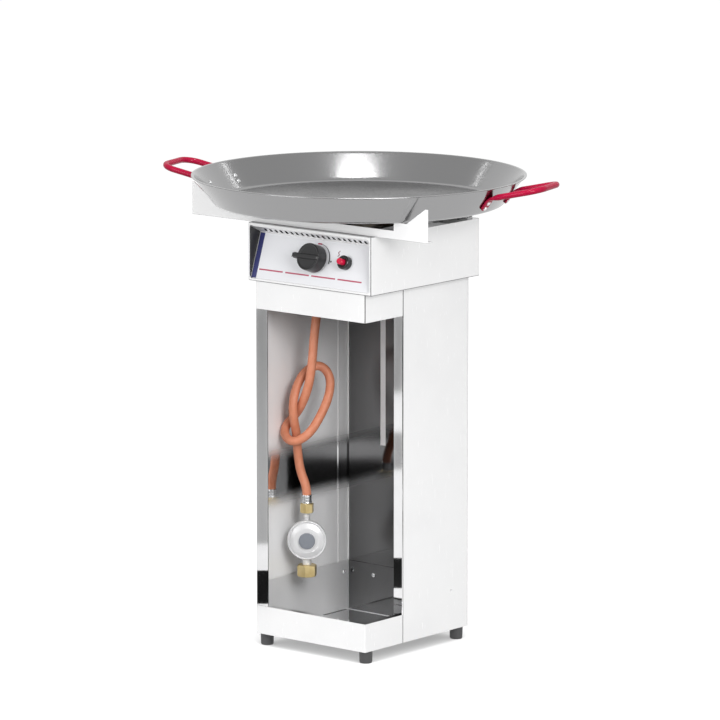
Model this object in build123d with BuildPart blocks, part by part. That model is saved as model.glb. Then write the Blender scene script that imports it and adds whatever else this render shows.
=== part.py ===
from build123d import *

import math
import os

os.makedirs("parts", exist_ok=True)

# Driving dimensions, in millimetres. X runs to the right of a cook who faces the grill, the front
# is at -Y, and the floor is at z = 0 under the middle of the pan.

# Sheet steel, screws and running fits
sheet = 1.5
screw_diameter = 4.0
screw_head_diameter = 8.5
screw_head_height = 2.6
slip_fit = 0.05
run_fit = 0.1

# Stand: an open cabinet for the gas bottle
cabinet_x = 12.0
stand_width = 256.0
stand_depth = 289.0
stand_setback = 2.0
foot_diameter = 24.0
foot_height = 22.0
foot_side_inset = 12.5
foot_end_inset = 17.0
foot_chamfer = 2.0
foot_screw_depth = 12.0
lower_band_height = 51.0
window_height = 541.0
upper_band_height = 50.0
band_start = 2.0
band_hem = 12.0
hem_gap = 2.0
corner_window_depth = 105.0
left_front_flange = 28.0
seam_flange = 21.0
back_flange = 27.0
back_recess = 33.0
rear_fold = 14.0
top_flange = 20.0
bend_radius = 2.0
tray_wall_height = 93.0
tray_lip_height = 38.0
tray_screw_rise = 73.0
tray_screw_inset = 65.0
box_screw_inset = 60.0

# Control box
box_width = 286.0
box_depth = 305.0
box_height = 104.0
box_corner = 4.0
front_lip = 4.0
front_window_corner = 6.0
flange_height = 12.0
flange_gap = 1.75
deck_opening_width = 176.0
deck_opening_depth = 190.0
deck_slot_length = 34.0
deck_slot_width = 7.0
deck_slot_pitch = 44.0
deck_slot_count = 5
deck_slot_inset = 25.0

# Fascia: one bent sheet with the leaning control panel below and a vented brow above it
fascia_gap = 0.2
fascia_foot_flange = 13.0
fascia_lean_depth = 28.0
fascia_brow_drop = 4.5
fascia_knee_drop = 18.0
fascia_bend = 1.2
vent_slot_count = 20
vent_slot_pitch = 12.2
vent_slot_length = 20.0
vent_slot_width = 5.0
vent_slot_slant = 25.0
film = 0.5
film_end_gap = 2.2
film_side_gap = 3.0

# Knob, stem and gas valve
knob_offset = 2.5
knob_rise = 5.5
knob_diameter = 50.0
knob_gap = 4.5
knob_skirt = 23.0
knob_height = 25.0
knob_grip_width = 11.0
knob_pointer = 10.5
knob_cavity_diameter = 30.0
knob_cavity_depth = 4.5
stem_diameter = 8.0
stem_length = 42.0
stem_tip = 18.0
collar_diameter = 14.0
collar_length = 3.0
collar_depth = 12.0
chamber_diameter = 16.0
chamber_start = 10.0
chamber_end = 32.0
stem_spring_diameter = 13.0
stem_spring_bore = 10.0
valve_diameter = 28.0
valve_length = 42.0
valve_neck_diameter = 13.0
valve_neck_rise = 5.0
valve_nut_width = 19.0
valve_nut_height = 3.0
port_depth = 37.0
port_diameter = 10.0
port_rise = 6.0

# Push igniter
igniter_offset = 68.0
bezel_diameter = 25.0
bezel_height = 12.0
barrel_diameter = 16.0
barrel_length = 12.0
igniter_nut_width = 22.0
igniter_nut_height = 4.0
button_diameter = 11.6
button_rise = 10.0
button_depth = 8.0
igniter_body_diameter = 18.0
igniter_body_length = 48.0
igniter_cavity_depth = 16.0
igniter_spring_diameter = 9.0
igniter_spring_bore = 7.0

# Burner, its feed and its spark
manifold_diameter = 14.0
manifold_length = 130.0
manifold_gap = 11.3
boss_reach = 10.0
injector_width = 10.0
injector_hex = 5.0
injector_nozzle_diameter = 6.0
injector_nozzle_length = 8.0
burner_spread = 110.0
burner_diameter = 26.0
burner_length = 178.0
burner_gap = 6.0
flame_slot_count = 17
flame_slot_pitch = 9.0
flame_slot_length = 12.0
flame_slot_width = 2.0
flame_slot_shift = 12.0
bracket_margin = 32.0
bracket_rise = 24.0
bracket_foot = 15.0
bracket_front_inset = 27.0
bracket_rear_inset = 11.0
bracket_screw_spread = 60.0
electrode_side = 19.0
electrode_rise = 13.0
electrode_diameter = 7.0
electrode_length = 40.0
electrode_lead_in = 16.0
electrode_rod_diameter = 2.5
electrode_rod_length = 14.0
lead_diameter = 3.0
lead_bend = 4.0
lead_run = 10.0

# Pan supports
support_sheet = 2.0
support_setback = 11.5
support_height = 30.0
support_notch_depth = 15.0
support_flange = 12.0
front_shoulder = 29.0
front_horn_foot_gap = 10.0
front_horn_tip_gap = 26.0
front_horn_tip = 5.0
front_horn_rise = 29.0
rear_support_length = 270.0
rear_notch_width = 190.0
support_screw_spread = 220.0

# Pan
pan_sheet = 2.0
pan_rim_radius = 300.0
pan_base_radius = 258.0
pan_depth = 52.0
pan_lip = 4.0
pan_base_bend = 24.0
pan_lip_bend = 2.0
handle_angle = 14.5
handle_rod = 9.0
handle_reach = 72.0
handle_width = 104.0
handle_foot_spread = 100.0
handle_lift = 0.5
handle_bend = 28.0
handle_foot_slant = 32.0
handle_foot_width = 20.0
handle_foot_length = 38.0
handle_foot_sheet = 4.0
handle_foot_corner = 7.0
handle_root_rise = 12.0
rivet_rises = (-13.0, -1.0)
rivet_diameter = 5.0
rivet_head_diameter = 8.0
rivet_head_height = 2.0

# Gas line: hose, regulator and their fittings
hose_offset = -65.0
hose_setback = 102.5
hose_heading = 39.5
hose_diameter = 16.0
hose_bend_share = 0.45
hose_gap_skip = 2.2
inlet_diameter = 13.0
inlet_reach = 18.0
inlet_hex_width = 22.0
inlet_hex_height = 6.0
riser_diameter = 11.0
riser_height = 10.0
lock_nut_height = 6.0
hose_nut_width = 22.0
hose_nut_height = 17.0
hose_top_nut_gap = 4.0
hose_tail_diameter = 10.0
ferrule_diameter = 18.0
ferrule_length = 16.0
supply_diameter = 8.0
supply_bend = 12.0
regulator_diameter = 71.0
regulator_thickness = 18.0
regulator_edge = 3.0
regulator_drop = 82.0
cover_rim = 4.0
cover_dome = 7.0
cover_dome_diameter = 52.0
cap_diameter = 29.0
cap_height = 5.0
neck_diameter = 10.0
neck_grip = 8.0
spigot_boss_diameter = 17.0
spigot_boss_drop = 40.0
spigot_diameter = 15.0
spigot_length = 14.0
spigot_flange_diameter = 19.0
spigot_flange_height = 3.0
inlet_nut_width = 32.0
inlet_nut_height = 21.0
inlet_nut_bore = 21.8
inlet_nut_relief = 23.0
inlet_nut_roof = 4.0
nut_play = 0.3
seal_diameter = 18.0
seal_bore = 8.0
seal_height = 2.5

# Hose centre line: across the knot, away from the front right corner, and down from its top end.
# It is a loose overhand knot, so each crossing passes the other strand by more than a diameter.
hose_route = [
    (0, 0, 0),
    (0, 0, 28),
    (-7, -3, 70),
    (-14, -10, 118),
    (-21, -10, 158),
    (-31, 4, 194),
    (-44, 13, 224),
    (-63, 9, 246),
    (-58, -3, 264),
    (-39, -13, 271),
    (-14, -11, 250),
    (6, -3, 212),
    (16, 5, 175),
    (11, 10, 141),
    (-7, 12, 125),
    (-29, 9, 133),
    (-43, 1, 160),
    (-48, -8, 194),
    (-43, -10, 225),
    (-32, 11, 260),
    (-26, 9, 297),
    (-21, 5, 331),
    (-21, 5, 354),
]

# Places that follow from the driving dimensions
box_left = cabinet_x - box_width / 2
box_right = cabinet_x + box_width / 2
box_front = -box_depth / 2
box_back = box_depth / 2
stand_left = cabinet_x - stand_width / 2
stand_right = cabinet_x + stand_width / 2
stand_front = box_front + stand_setback
stand_back = stand_front + stand_depth
seam_y = stand_front + corner_window_depth

lower_band_top = foot_height + lower_band_height
upper_band_bottom = lower_band_top + window_height
box_bottom = upper_band_bottom + upper_band_height
box_top = box_bottom + box_height
deck_underside = box_top - sheet
tray_floor = foot_height + sheet
hose_x = cabinet_x + hose_offset
hose_y = box_front + hose_setback

tray_left = stand_left + 2 * sheet
tray_right = stand_right - 2 * sheet
tray_front = stand_front + 2 * sheet
tray_back = stand_back - sheet
back_inside = tray_back - back_recess

screw_hole = screw_diameter + 2 * slip_fit
cut_margin = 1.0
CENTRED_UP = (Align.CENTER, Align.CENTER, Align.MIN)


def block(x0, x1, y0, y1, z0, z1, mode=Mode.ADD):
    """A box between two opposite corners."""
    with Locations(((x0 + x1) / 2, (y0 + y1) / 2, (z0 + z1) / 2)):
        Box(x1 - x0, y1 - y0, z1 - z0, mode=mode)


def rod(site, diameter, start, end, mode=Mode.ADD):
    """A cylinder along a plane's normal, between two heights over the plane."""
    with Locations(site.offset(start)):
        Cylinder(diameter / 2, end - start, align=CENTRED_UP, mode=mode)


def hexagon(site, width, start, end):
    """A hexagonal bar along a plane's normal, given across its flats."""
    with BuildSketch(site.offset(start)) as outline:
        RegularPolygon(width / 2, 6, major_radius=False)
    extrude(outline.sketch, amount=end - start)


def drill(site, diameter, depth):
    """A hole from a little before a plane to a depth along its normal."""
    rod(site, diameter, -cut_margin, depth, mode=Mode.SUBTRACT)


def screw(site, grip):
    """A pan-head screw: its head bears on the plane and its shank follows the normal."""
    rod(site, screw_head_diameter, -screw_head_height, 0)
    rod(site, screw_diameter, 0, grip)


def save(piece, name):
    """Label a finished piece and write it."""
    piece.part.label = name
    export_step(piece.part, f"parts/{name}.step")


# Screw sites of the stand: each plane lies under the head, with its normal along the shank
foot_x = (stand_left + foot_side_inset, stand_right - foot_side_inset)
foot_y = (stand_front + foot_end_inset, stand_back - foot_end_inset)
foot_sites = [Plane((x, y, tray_floor), z_dir=(0, 0, -1)) for y in foot_y for x in foot_x]

tray_screw_z = foot_height + tray_screw_rise
side_screw_y = back_inside - back_flange / 2
left_site = Plane((tray_left + sheet, side_screw_y, tray_screw_z), z_dir=(-1, 0, 0))
right_site = Plane((tray_right - sheet, side_screw_y, tray_screw_z), z_dir=(1, 0, 0))
back_sites = [
    Plane((x, back_inside - sheet, tray_screw_z), z_dir=(0, 1, 0))
    for x in (stand_left + tray_screw_inset, stand_right - tray_screw_inset)
]
seam_screw_x = stand_right - seam_flange / 2
lower_seam_site = Plane((seam_screw_x, seam_y - sheet, foot_height + lower_band_height / 2), z_dir=(0, 1, 0))
upper_seam_site = Plane((seam_screw_x, seam_y - sheet, box_bottom - upper_band_height / 2), z_dir=(0, 1, 0))
left_box_sites = [
    Plane((stand_left + top_flange / 2, y, box_bottom - sheet))
    for y in (stand_front + box_screw_inset, stand_back - box_screw_inset)
]
right_box_site = Plane((stand_right - top_flange / 2, stand_back - box_screw_inset, box_bottom - sheet))

# Base tray: the cabinet's floor, with high walls up to the back panel, low lips under the window
# and another lip behind
with BuildPart() as base_tray:
    tray_top = foot_height + tray_wall_height
    lip_top = foot_height + tray_lip_height
    block(tray_left, tray_right, tray_front, tray_back, foot_height, tray_floor)
    block(tray_left, tray_left + sheet, tray_front, back_inside, foot_height, tray_top)
    block(tray_left, tray_right, back_inside - sheet, back_inside, foot_height, tray_top)
    block(tray_right - sheet, tray_right, seam_y + 2 * sheet, back_inside, foot_height, tray_top)
    block(tray_left, tray_right, tray_back - sheet, tray_back, foot_height, lip_top)
    block(tray_left, tray_right, tray_front, tray_front + sheet, foot_height, lip_top)
    block(tray_right - sheet, tray_right, tray_front, seam_y - 2 * sheet, foot_height, lip_top)
    for site in foot_sites + [left_site, right_site] + back_sites:
        drill(site, screw_hole, sheet + cut_margin)
save(base_tray, "base_tray")

# Rubber feet under the tray's corners
foot_names = ("front_left_foot", "front_right_foot", "rear_left_foot", "rear_right_foot")
for foot_name, site in zip(foot_names, foot_sites):
    with BuildPart() as foot:
        rod(site, foot_diameter, sheet, sheet + foot_height)
        chamfer(foot.edges().group_by(Axis.Z)[0], foot_chamfer)
        drill(site.offset(sheet), screw_hole, foot_screw_depth)
    save(foot, foot_name)

with BuildPart() as foot_screws:
    for site in foot_sites:
        screw(site, sheet + foot_screw_depth - cut_margin)
save(foot_screws, "foot_screws")

# Left side panel: full depth, folded in at the front, at the back and at the top
with BuildPart() as left_side_panel:
    block(stand_left, stand_left + sheet, stand_front + sheet, stand_back, foot_height, box_bottom)
    block(
        stand_left, stand_left + left_front_flange, stand_front + sheet, tray_front, foot_height, box_bottom
    )
    block(stand_left, stand_left + rear_fold, tray_back, stand_back, foot_height, box_bottom)
    block(
        stand_left, stand_left + top_flange, stand_front + sheet, stand_back, box_bottom - sheet, box_bottom
    )
    outer_fold = left_side_panel.edges().filter_by(Axis.Z).sort_by(lambda e: e.center().X + e.center().Y)[0]
    fillet(outer_fold, bend_radius)
    drill(left_site, screw_hole, 3 * sheet + cut_margin)
    for site in left_box_sites:
        drill(site, screw_hole, sheet + cut_margin)
save(left_side_panel, "left_side_panel")

# Right side panel: starts behind the corner window, folded in at the front, back and top
with BuildPart() as right_side_panel:
    block(stand_right - sheet, stand_right, seam_y, stand_back, foot_height, box_bottom)
    block(stand_right - seam_flange, stand_right, seam_y, seam_y + sheet, tray_floor, box_bottom)
    block(stand_right - rear_fold, stand_right, tray_back, stand_back, foot_height, box_bottom)
    block(stand_right - top_flange, stand_right, seam_y, stand_back, box_bottom - sheet, box_bottom)
    outer_fold = right_side_panel.edges().filter_by(Axis.Z).sort_by(lambda e: e.center().X - e.center().Y)[-1]
    fillet(outer_fold, bend_radius)
    drill(right_site, screw_hole, 3 * sheet + cut_margin)
    for site in (lower_seam_site, upper_seam_site):
        drill(site, screw_hole, 2 * sheet + cut_margin)
    drill(right_box_site, screw_hole, sheet + cut_margin)
save(right_side_panel, "right_side_panel")

# Back panel: stands on the tray's floor, set in from the back and folded forward inside both sides
with BuildPart() as back_panel:
    inner_left = stand_left + sheet
    inner_right = stand_right - sheet
    flange_front = back_inside - back_flange
    flange_top = box_bottom - sheet
    block(inner_left, inner_right, back_inside, back_inside + sheet, tray_floor, flange_top)
    block(inner_left, inner_left + sheet, flange_front, back_inside, tray_floor, flange_top)
    block(inner_right - sheet, inner_right, flange_front, back_inside, tray_floor, flange_top)
    for site in back_sites + [left_site, right_site]:
        drill(site, screw_hole, 2 * sheet + cut_margin)
save(back_panel, "back_panel")

# Front bands: each runs along the front, round the right corner and back to the seam
hem_left = stand_left + left_front_flange + hem_gap
band_back = stand_front + sheet
right_inside = stand_right - sheet


def band(bottom, top, tab_bottom, hem_bottom, seam_site):
    """One corner band with a tab behind its seam and a hem along the window's edge."""
    block(stand_left + band_start, stand_right, stand_front, band_back, bottom, top)
    block(right_inside, stand_right, stand_front, seam_y, bottom, top)
    block(stand_right - seam_flange, stand_right, seam_y - sheet, seam_y, tab_bottom, top)
    block(hem_left, right_inside, band_back, band_back + band_hem, hem_bottom, hem_bottom + sheet)
    block(right_inside - band_hem, right_inside, band_back, seam_y - sheet, hem_bottom, hem_bottom + sheet)
    drill(seam_site, screw_hole, sheet + cut_margin)


with BuildPart() as lower_front_band:
    band(foot_height, lower_band_top, tray_floor, lower_band_top - sheet, lower_seam_site)
    upright = lower_front_band.edges().filter_by(Axis.Z)
    front_fold = upright.sort_by(lambda e: e.center().X - e.center().Y)[-1]
    seam_fold = upright.sort_by(lambda e: e.center().X + e.center().Y)[-1]
    fillet([front_fold, seam_fold], bend_radius)
save(lower_front_band, "lower_front_band")

with BuildPart() as upper_front_band:
    band(upper_band_bottom, box_bottom, upper_band_bottom, upper_band_bottom, upper_seam_site)
    upright = upper_front_band.edges().filter_by(Axis.Z)
    front_fold = upright.sort_by(lambda e: e.center().X - e.center().Y)[-1]
    seam_fold = upright.sort_by(lambda e: e.center().X + e.center().Y)[-1]
    fillet([front_fold, seam_fold], bend_radius)
save(upper_front_band, "upper_front_band")

with BuildPart() as stand_screws:
    screw(left_site, 3 * sheet)
    screw(right_site, 3 * sheet)
    for site in back_sites:
        screw(site, 2 * sheet)
    for site in (lower_seam_site, upper_seam_site):
        screw(site, 2 * sheet + cut_margin)
    for site in left_box_sites + [right_box_site]:
        screw(site, 2 * sheet + cut_margin)
save(stand_screws, "stand_screws")

# Control box: a wrapped shell with a framed front window, a bottom and a slotted deck
shell_left = box_left + sheet
shell_right = box_right - sheet
shell_front = box_front + sheet
shell_back = box_back - sheet
flange_y1 = shell_back - box_corner
inlet_site = Plane((hose_x, hose_y, box_bottom))

with BuildPart() as housing_shell:
    with BuildSketch(Plane.XY.offset(box_bottom)):
        with Locations((cabinet_x, 0)):
            RectangleRounded(box_width, box_depth, box_corner)
            RectangleRounded(
                box_width - 2 * sheet, box_depth - 2 * sheet, box_corner - sheet, mode=Mode.SUBTRACT
            )
    extrude(amount=box_height)
    with BuildSketch(Plane.XZ.offset(-box_front)):
        with Locations((cabinet_x, box_bottom + box_height / 2)):
            RectangleRounded(box_width - 2 * front_lip, box_height - 2 * front_lip, front_window_corner)
    extrude(amount=-(sheet + cut_margin), mode=Mode.SUBTRACT)
save(housing_shell, "housing_shell")

# Burner and bracket places, which the deck and the bottom share
lean = math.atan2(fascia_lean_depth, deck_underside - fascia_knee_drop - box_bottom - 1.5 * sheet)
panel_out = Vector(0, -math.cos(lean), math.sin(lean))
panel_up = Vector(0, math.sin(lean), math.cos(lean))
panel_foot = Vector(cabinet_x, box_front + box_corner + sheet / 2, box_bottom + 1.5 * sheet)
panel_knee = Vector(cabinet_x, panel_foot.Y + fascia_lean_depth, deck_underside - fascia_knee_drop)
flange_y0 = panel_knee.Y + sheet + flange_gap
panel_face = Plane((panel_foot + panel_knee) / 2 + panel_out * (sheet / 2), x_dir=(1, 0, 0), z_dir=panel_out)
knob_site = Plane(
    panel_face.from_local_coords(Vector(knob_offset, knob_rise, 0)), x_dir=(1, 0, 0), z_dir=panel_out
)
igniter_site = Plane(
    knob_site.from_local_coords(Vector(igniter_offset, 0, 0)), x_dir=(1, 0, 0), z_dir=panel_out
)
port_centre = knob_site.from_local_coords(Vector(0, 0, -port_depth))
port_end = valve_diameter / 2 + port_rise
manifold_rise = port_end + manifold_gap + manifold_diameter / 2
manifold_centre = port_centre + panel_up * manifold_rise
burner_x = (cabinet_x - burner_spread / 2, cabinet_x + burner_spread / 2)
burner_z = manifold_centre.Z
burner_front = manifold_centre.Y + boss_reach + injector_hex + burner_gap
burner_back = burner_front + burner_length
bracket_y = {
    "front_burner_bracket": burner_front + bracket_front_inset,
    "rear_burner_bracket": burner_back - bracket_rear_inset,
}
bracket_foot_top = box_bottom + 2 * sheet
bracket_screw_x = (cabinet_x - bracket_screw_spread / 2, cabinet_x + bracket_screw_spread / 2)
bracket_sites = {
    name: [Plane((x, y + bracket_foot / 2, bracket_foot_top), z_dir=(0, 0, -1)) for x in bracket_screw_x]
    for name, y in bracket_y.items()
}

with BuildPart() as housing_bottom:
    inner_width = shell_right - shell_left
    with BuildSketch(Plane.XY.offset(box_bottom)):
        with Locations((cabinet_x, 0)):
            RectangleRounded(inner_width, shell_back - shell_front, box_corner)
    extrude(amount=sheet)
    block(shell_left, shell_left + sheet, flange_y0, flange_y1, box_bottom, box_bottom + flange_height)
    block(shell_right - sheet, shell_right, flange_y0, flange_y1, box_bottom, box_bottom + flange_height)
    block(
        shell_left + box_corner, shell_right - box_corner, shell_back - sheet, shell_back,
        box_bottom, box_bottom + flange_height
    )
    drill(inlet_site, inlet_diameter + 2 * slip_fit, sheet + cut_margin)
    for site in left_box_sites + [right_box_site]:
        drill(site, screw_hole, 2 * sheet + cut_margin)
    for sites in bracket_sites.values():
        for site in sites:
            drill(site, screw_hole, 2 * sheet + cut_margin)
save(housing_bottom, "housing_bottom")

# Pan support places, which the deck's screw holes follow
front_support_y = box_front + support_setback
rear_support_y = box_back - support_setback
front_screw_y = front_support_y + support_sheet + support_flange / 2
rear_screw_y = rear_support_y - support_sheet - support_flange / 2
support_sites = [
    Plane((cabinet_x + side * support_screw_spread / 2, y, box_top + support_sheet), z_dir=(0, 0, -1))
    for y in (front_screw_y, rear_screw_y)
    for side in (-1, 1)
]
burner_middle_y = (burner_front + burner_back) / 2

with BuildPart() as deck_plate:
    with BuildSketch(Plane.XY.offset(deck_underside)):
        with Locations((cabinet_x, 0)):
            RectangleRounded(shell_right - shell_left, shell_back - shell_front, box_corner)
        with Locations((cabinet_x, burner_middle_y)):
            RectangleRounded(deck_opening_width, deck_opening_depth, box_corner, mode=Mode.SUBTRACT)
        for slot_x in (shell_left + deck_slot_inset, shell_right - deck_slot_inset):
            with Locations((slot_x, burner_middle_y)):
                with GridLocations(0, deck_slot_pitch, 1, deck_slot_count):
                    SlotOverall(deck_slot_length, deck_slot_width, rotation=90, mode=Mode.SUBTRACT)
    extrude(amount=sheet)
    skirt_bottom = box_top - flange_height
    block(shell_left, shell_left + sheet, flange_y0, flange_y1, skirt_bottom, box_top)
    block(shell_right - sheet, shell_right, flange_y0, flange_y1, skirt_bottom, box_top)
    block(
        shell_left + box_corner, shell_right - box_corner, shell_back - sheet, shell_back,
        skirt_bottom, box_top
    )
    for site in support_sites:
        drill(site, screw_hole, support_sheet + sheet + cut_margin)
save(deck_plate, "deck_plate")

# Fascia: foot flange, leaning control panel and vented brow, bent from one sheet
brow_y = panel_foot.Y
brow_z = deck_underside - fascia_brow_drop
fascia_left = shell_left + fascia_gap
fascia_width = shell_right - shell_left - 2 * fascia_gap
vent_run = Vector(0, brow_y - panel_knee.Y, brow_z - panel_knee.Z)
vent_middle = Vector(cabinet_x, (brow_y + panel_knee.Y) / 2, (brow_z + panel_knee.Z) / 2)
vent_face = Plane(vent_middle, x_dir=(1, 0, 0), z_dir=Vector(1, 0, 0).cross(vent_run.normalized()))
valve_hole = valve_neck_diameter + 2 * slip_fit
barrel_hole = barrel_diameter + 2 * slip_fit

with BuildPart() as control_panel:
    with BuildSketch(Plane.YZ.offset(fascia_left)):
        with BuildLine():
            FilletPolyline(
                (panel_foot.Y + fascia_foot_flange, panel_foot.Z),
                (panel_foot.Y, panel_foot.Z),
                (panel_knee.Y, panel_knee.Z),
                (brow_y, brow_z),
                (brow_y, deck_underside),
                radius=fascia_bend,
            )
        trace(line_width=sheet)
    extrude(amount=fascia_width)
    with BuildSketch(vent_face):
        with GridLocations(vent_slot_pitch, 0, vent_slot_count, 1):
            SlotOverall(vent_slot_length, vent_slot_width, rotation=90 - vent_slot_slant)
    extrude(amount=2 * sheet, both=True, mode=Mode.SUBTRACT)
    drill(knob_site.offset(-2 * sheet), valve_hole, 3 * sheet)
    drill(igniter_site.offset(-2 * sheet), barrel_hole, 3 * sheet)
save(control_panel, "control_panel")

with BuildPart() as panel_film:
    with BuildSketch(panel_face):
        Rectangle(fascia_width - 2 * film_side_gap, (panel_knee - panel_foot).length - 2 * film_end_gap)
    extrude(amount=film)
    drill(knob_site, valve_hole, film + cut_margin)
    drill(igniter_site, barrel_hole, film + cut_margin)
save(panel_film, "panel_film")

# Gas valve: body behind the panel, threaded neck through it, chamber for the push collar
inlet_port = Plane(port_centre, z_dir=(-1, 0, 0))
outlet_port = Plane(port_centre, z_dir=panel_up)
stem_hole = stem_diameter + 2 * slip_fit

with BuildPart() as gas_valve:
    rod(knob_site, valve_diameter, -sheet - valve_length, -sheet)
    rod(knob_site, valve_neck_diameter, -sheet, valve_neck_rise)
    rod(inlet_port, port_diameter, 0, port_end)
    rod(outlet_port, port_diameter, 0, port_end)
    rod(knob_site, chamber_diameter, -chamber_end, -chamber_start, mode=Mode.SUBTRACT)
    rod(knob_site, stem_hole, -chamber_start, valve_neck_rise + cut_margin, mode=Mode.SUBTRACT)
save(gas_valve, "gas_valve")

with BuildPart() as valve_nut:
    hexagon(knob_site, valve_nut_width, film, film + valve_nut_height)
    drill(knob_site, valve_hole, film + valve_nut_height + cut_margin)
save(valve_nut, "valve_nut")

with BuildPart() as valve_stem:
    rod(knob_site, stem_diameter, stem_tip - stem_length, stem_tip)
save(valve_stem, "valve_stem")

with BuildPart() as stem_collar:
    rod(knob_site, collar_diameter, -collar_depth - collar_length, -collar_depth)
    rod(knob_site, stem_hole, -chamber_end, -chamber_start, mode=Mode.SUBTRACT)
save(stem_collar, "stem_collar")

with BuildPart() as stem_spring:
    rod(knob_site, stem_spring_diameter, -chamber_end, -collar_depth - collar_length)
    rod(knob_site, stem_spring_bore, -chamber_end, -collar_depth, mode=Mode.SUBTRACT)
save(stem_spring, "stem_spring")

# Knob: a disc with a bar grip whose pointer stands out beyond the disc, at nine o'clock when off
with BuildPart() as control_knob:
    knob_up = Axis(knob_site.origin, knob_site.z_dir)
    with BuildSketch(knob_site.offset(knob_gap)):
        Circle(knob_diameter / 2)
    extrude(amount=knob_skirt)
    fillet(control_knob.edges().group_by(knob_up)[-1], knob_skirt / 12)
    with BuildSketch(knob_site.offset(knob_gap)):
        with Locations((-knob_pointer / 2, 0)):
            RectangleRounded(knob_diameter + knob_pointer, knob_grip_width, knob_grip_width / 5)
    extrude(amount=knob_height)
    fillet(control_knob.edges().group_by(knob_up)[-1], knob_grip_width / 8)
    rod(knob_site, knob_cavity_diameter, 0, knob_gap + knob_cavity_depth, mode=Mode.SUBTRACT)
    rod(knob_site, stem_hole, 0, stem_tip + slip_fit, mode=Mode.SUBTRACT)
save(control_knob, "control_knob")

# Push igniter: bezel and barrel, nut, button on its spring, and the spark unit behind
bezel_front = film + bezel_height

with BuildPart() as igniter_bezel:
    rod(igniter_site, bezel_diameter, film, bezel_front)
    fillet(igniter_bezel.edges().group_by(Axis(igniter_site.origin, panel_out))[-1], bezel_height / 6)
    rod(igniter_site, barrel_diameter, -barrel_length, film)
    rod(
        igniter_site, button_diameter + 2 * run_fit, -barrel_length - cut_margin, bezel_front + cut_margin,
        mode=Mode.SUBTRACT
    )
save(igniter_bezel, "igniter_bezel")

with BuildPart() as igniter_nut:
    hexagon(igniter_site, igniter_nut_width, -sheet - igniter_nut_height, -sheet)
    drill(igniter_site.offset(-barrel_length), barrel_hole, barrel_length)
save(igniter_nut, "igniter_nut")

with BuildPart() as igniter_button:
    rod(igniter_site, button_diameter, -button_depth, bezel_front + button_rise)
    fillet(igniter_button.edges().group_by(Axis(igniter_site.origin, panel_out))[-1], button_diameter / 8)
save(igniter_button, "igniter_button")

with BuildPart() as igniter_body:
    igniter_end = -barrel_length - igniter_body_length
    cavity_end = -barrel_length - igniter_cavity_depth
    rod(igniter_site, igniter_body_diameter, igniter_end, -barrel_length)
    rod(igniter_site, button_diameter + 2 * run_fit, cavity_end, 0, mode=Mode.SUBTRACT)
save(igniter_body, "igniter_body")

with BuildPart() as igniter_spring:
    rod(igniter_site, igniter_spring_diameter, cavity_end, -button_depth)
    rod(igniter_site, igniter_spring_bore, cavity_end - cut_margin, 0, mode=Mode.SUBTRACT)
save(igniter_spring, "igniter_spring")

# Manifold: a closed pipe over the valve's outlet, with two flat bosses for the injectors
injector_sites = [Plane((x, manifold_centre.Y, burner_z), z_dir=(0, 1, 0)) for x in burner_x]

with BuildPart() as manifold:
    manifold_site = Plane((cabinet_x, manifold_centre.Y, manifold_centre.Z), z_dir=(1, 0, 0))
    rod(manifold_site, manifold_diameter, -manifold_length / 2, manifold_length / 2)
    rod(outlet_port, port_diameter, port_end, manifold_rise)
    for site in injector_sites:
        rod(site, injector_width, 0, boss_reach)
save(manifold, "manifold")

with BuildPart() as injectors:
    for site in injector_sites:
        hexagon(site, injector_width, boss_reach, boss_reach + injector_hex)
        rod(
            site, injector_nozzle_diameter, boss_reach + injector_hex,
            boss_reach + injector_hex + injector_nozzle_length
        )
save(injectors, "injectors")

# Burner tubes: open round the injectors in front, closed behind, with flame slots on top
for burner_name, x in zip(("left_burner", "right_burner"), burner_x):
    with BuildPart() as burner:
        burner_site = Plane((x, burner_front, burner_z), z_dir=(0, 1, 0))
        rod(burner_site, burner_diameter, 0, burner_length)
        rod(burner_site, burner_diameter - 2 * sheet, -cut_margin, burner_length - sheet, mode=Mode.SUBTRACT)
        with BuildSketch(Plane.XY.offset(burner_z)):
            with Locations((x, burner_middle_y + flame_slot_shift)):
                with GridLocations(0, flame_slot_pitch, 1, flame_slot_count):
                    SlotOverall(flame_slot_length, flame_slot_width)
        extrude(amount=burner_diameter, mode=Mode.SUBTRACT)
    save(burner, burner_name)

# Brackets: upright plates on the bottom that carry both tubes, the front one also the electrode
electrode_x = burner_x[1] + electrode_side
electrode_z = burner_z + electrode_rise
electrode_site = Plane((electrode_x, bracket_y["front_burner_bracket"], electrode_z), z_dir=(0, 1, 0))

for bracket_name, y in bracket_y.items():
    with BuildPart() as bracket:
        plate_left = burner_x[0] - bracket_margin
        plate_right = burner_x[1] + bracket_margin
        plate_bottom = box_bottom + sheet
        block(plate_left, plate_right, y, y + sheet, plate_bottom, burner_z + bracket_rise)
        block(plate_left, plate_right, y, y + bracket_foot, plate_bottom, plate_bottom + sheet)
        for x in burner_x:
            tube_site = Plane((x, y, burner_z), z_dir=(0, 1, 0))
            drill(tube_site, burner_diameter + 2 * slip_fit, sheet + cut_margin)
        for site in bracket_sites[bracket_name]:
            drill(site, screw_hole, sheet + cut_margin)
        if bracket_name == "front_burner_bracket":
            drill(electrode_site, electrode_diameter + 2 * slip_fit, sheet + cut_margin)
    save(bracket, bracket_name)

with BuildPart() as bracket_screws:
    for sites in bracket_sites.values():
        for site in sites:
            screw(site, 2 * sheet)
save(bracket_screws, "bracket_screws")

# Spark electrode in the front bracket, and its lead from the igniter
with BuildPart() as electrode_insulator:
    rod(electrode_site, electrode_diameter, -electrode_lead_in, electrode_length - electrode_lead_in)
save(electrode_insulator, "electrode_insulator")

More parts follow.
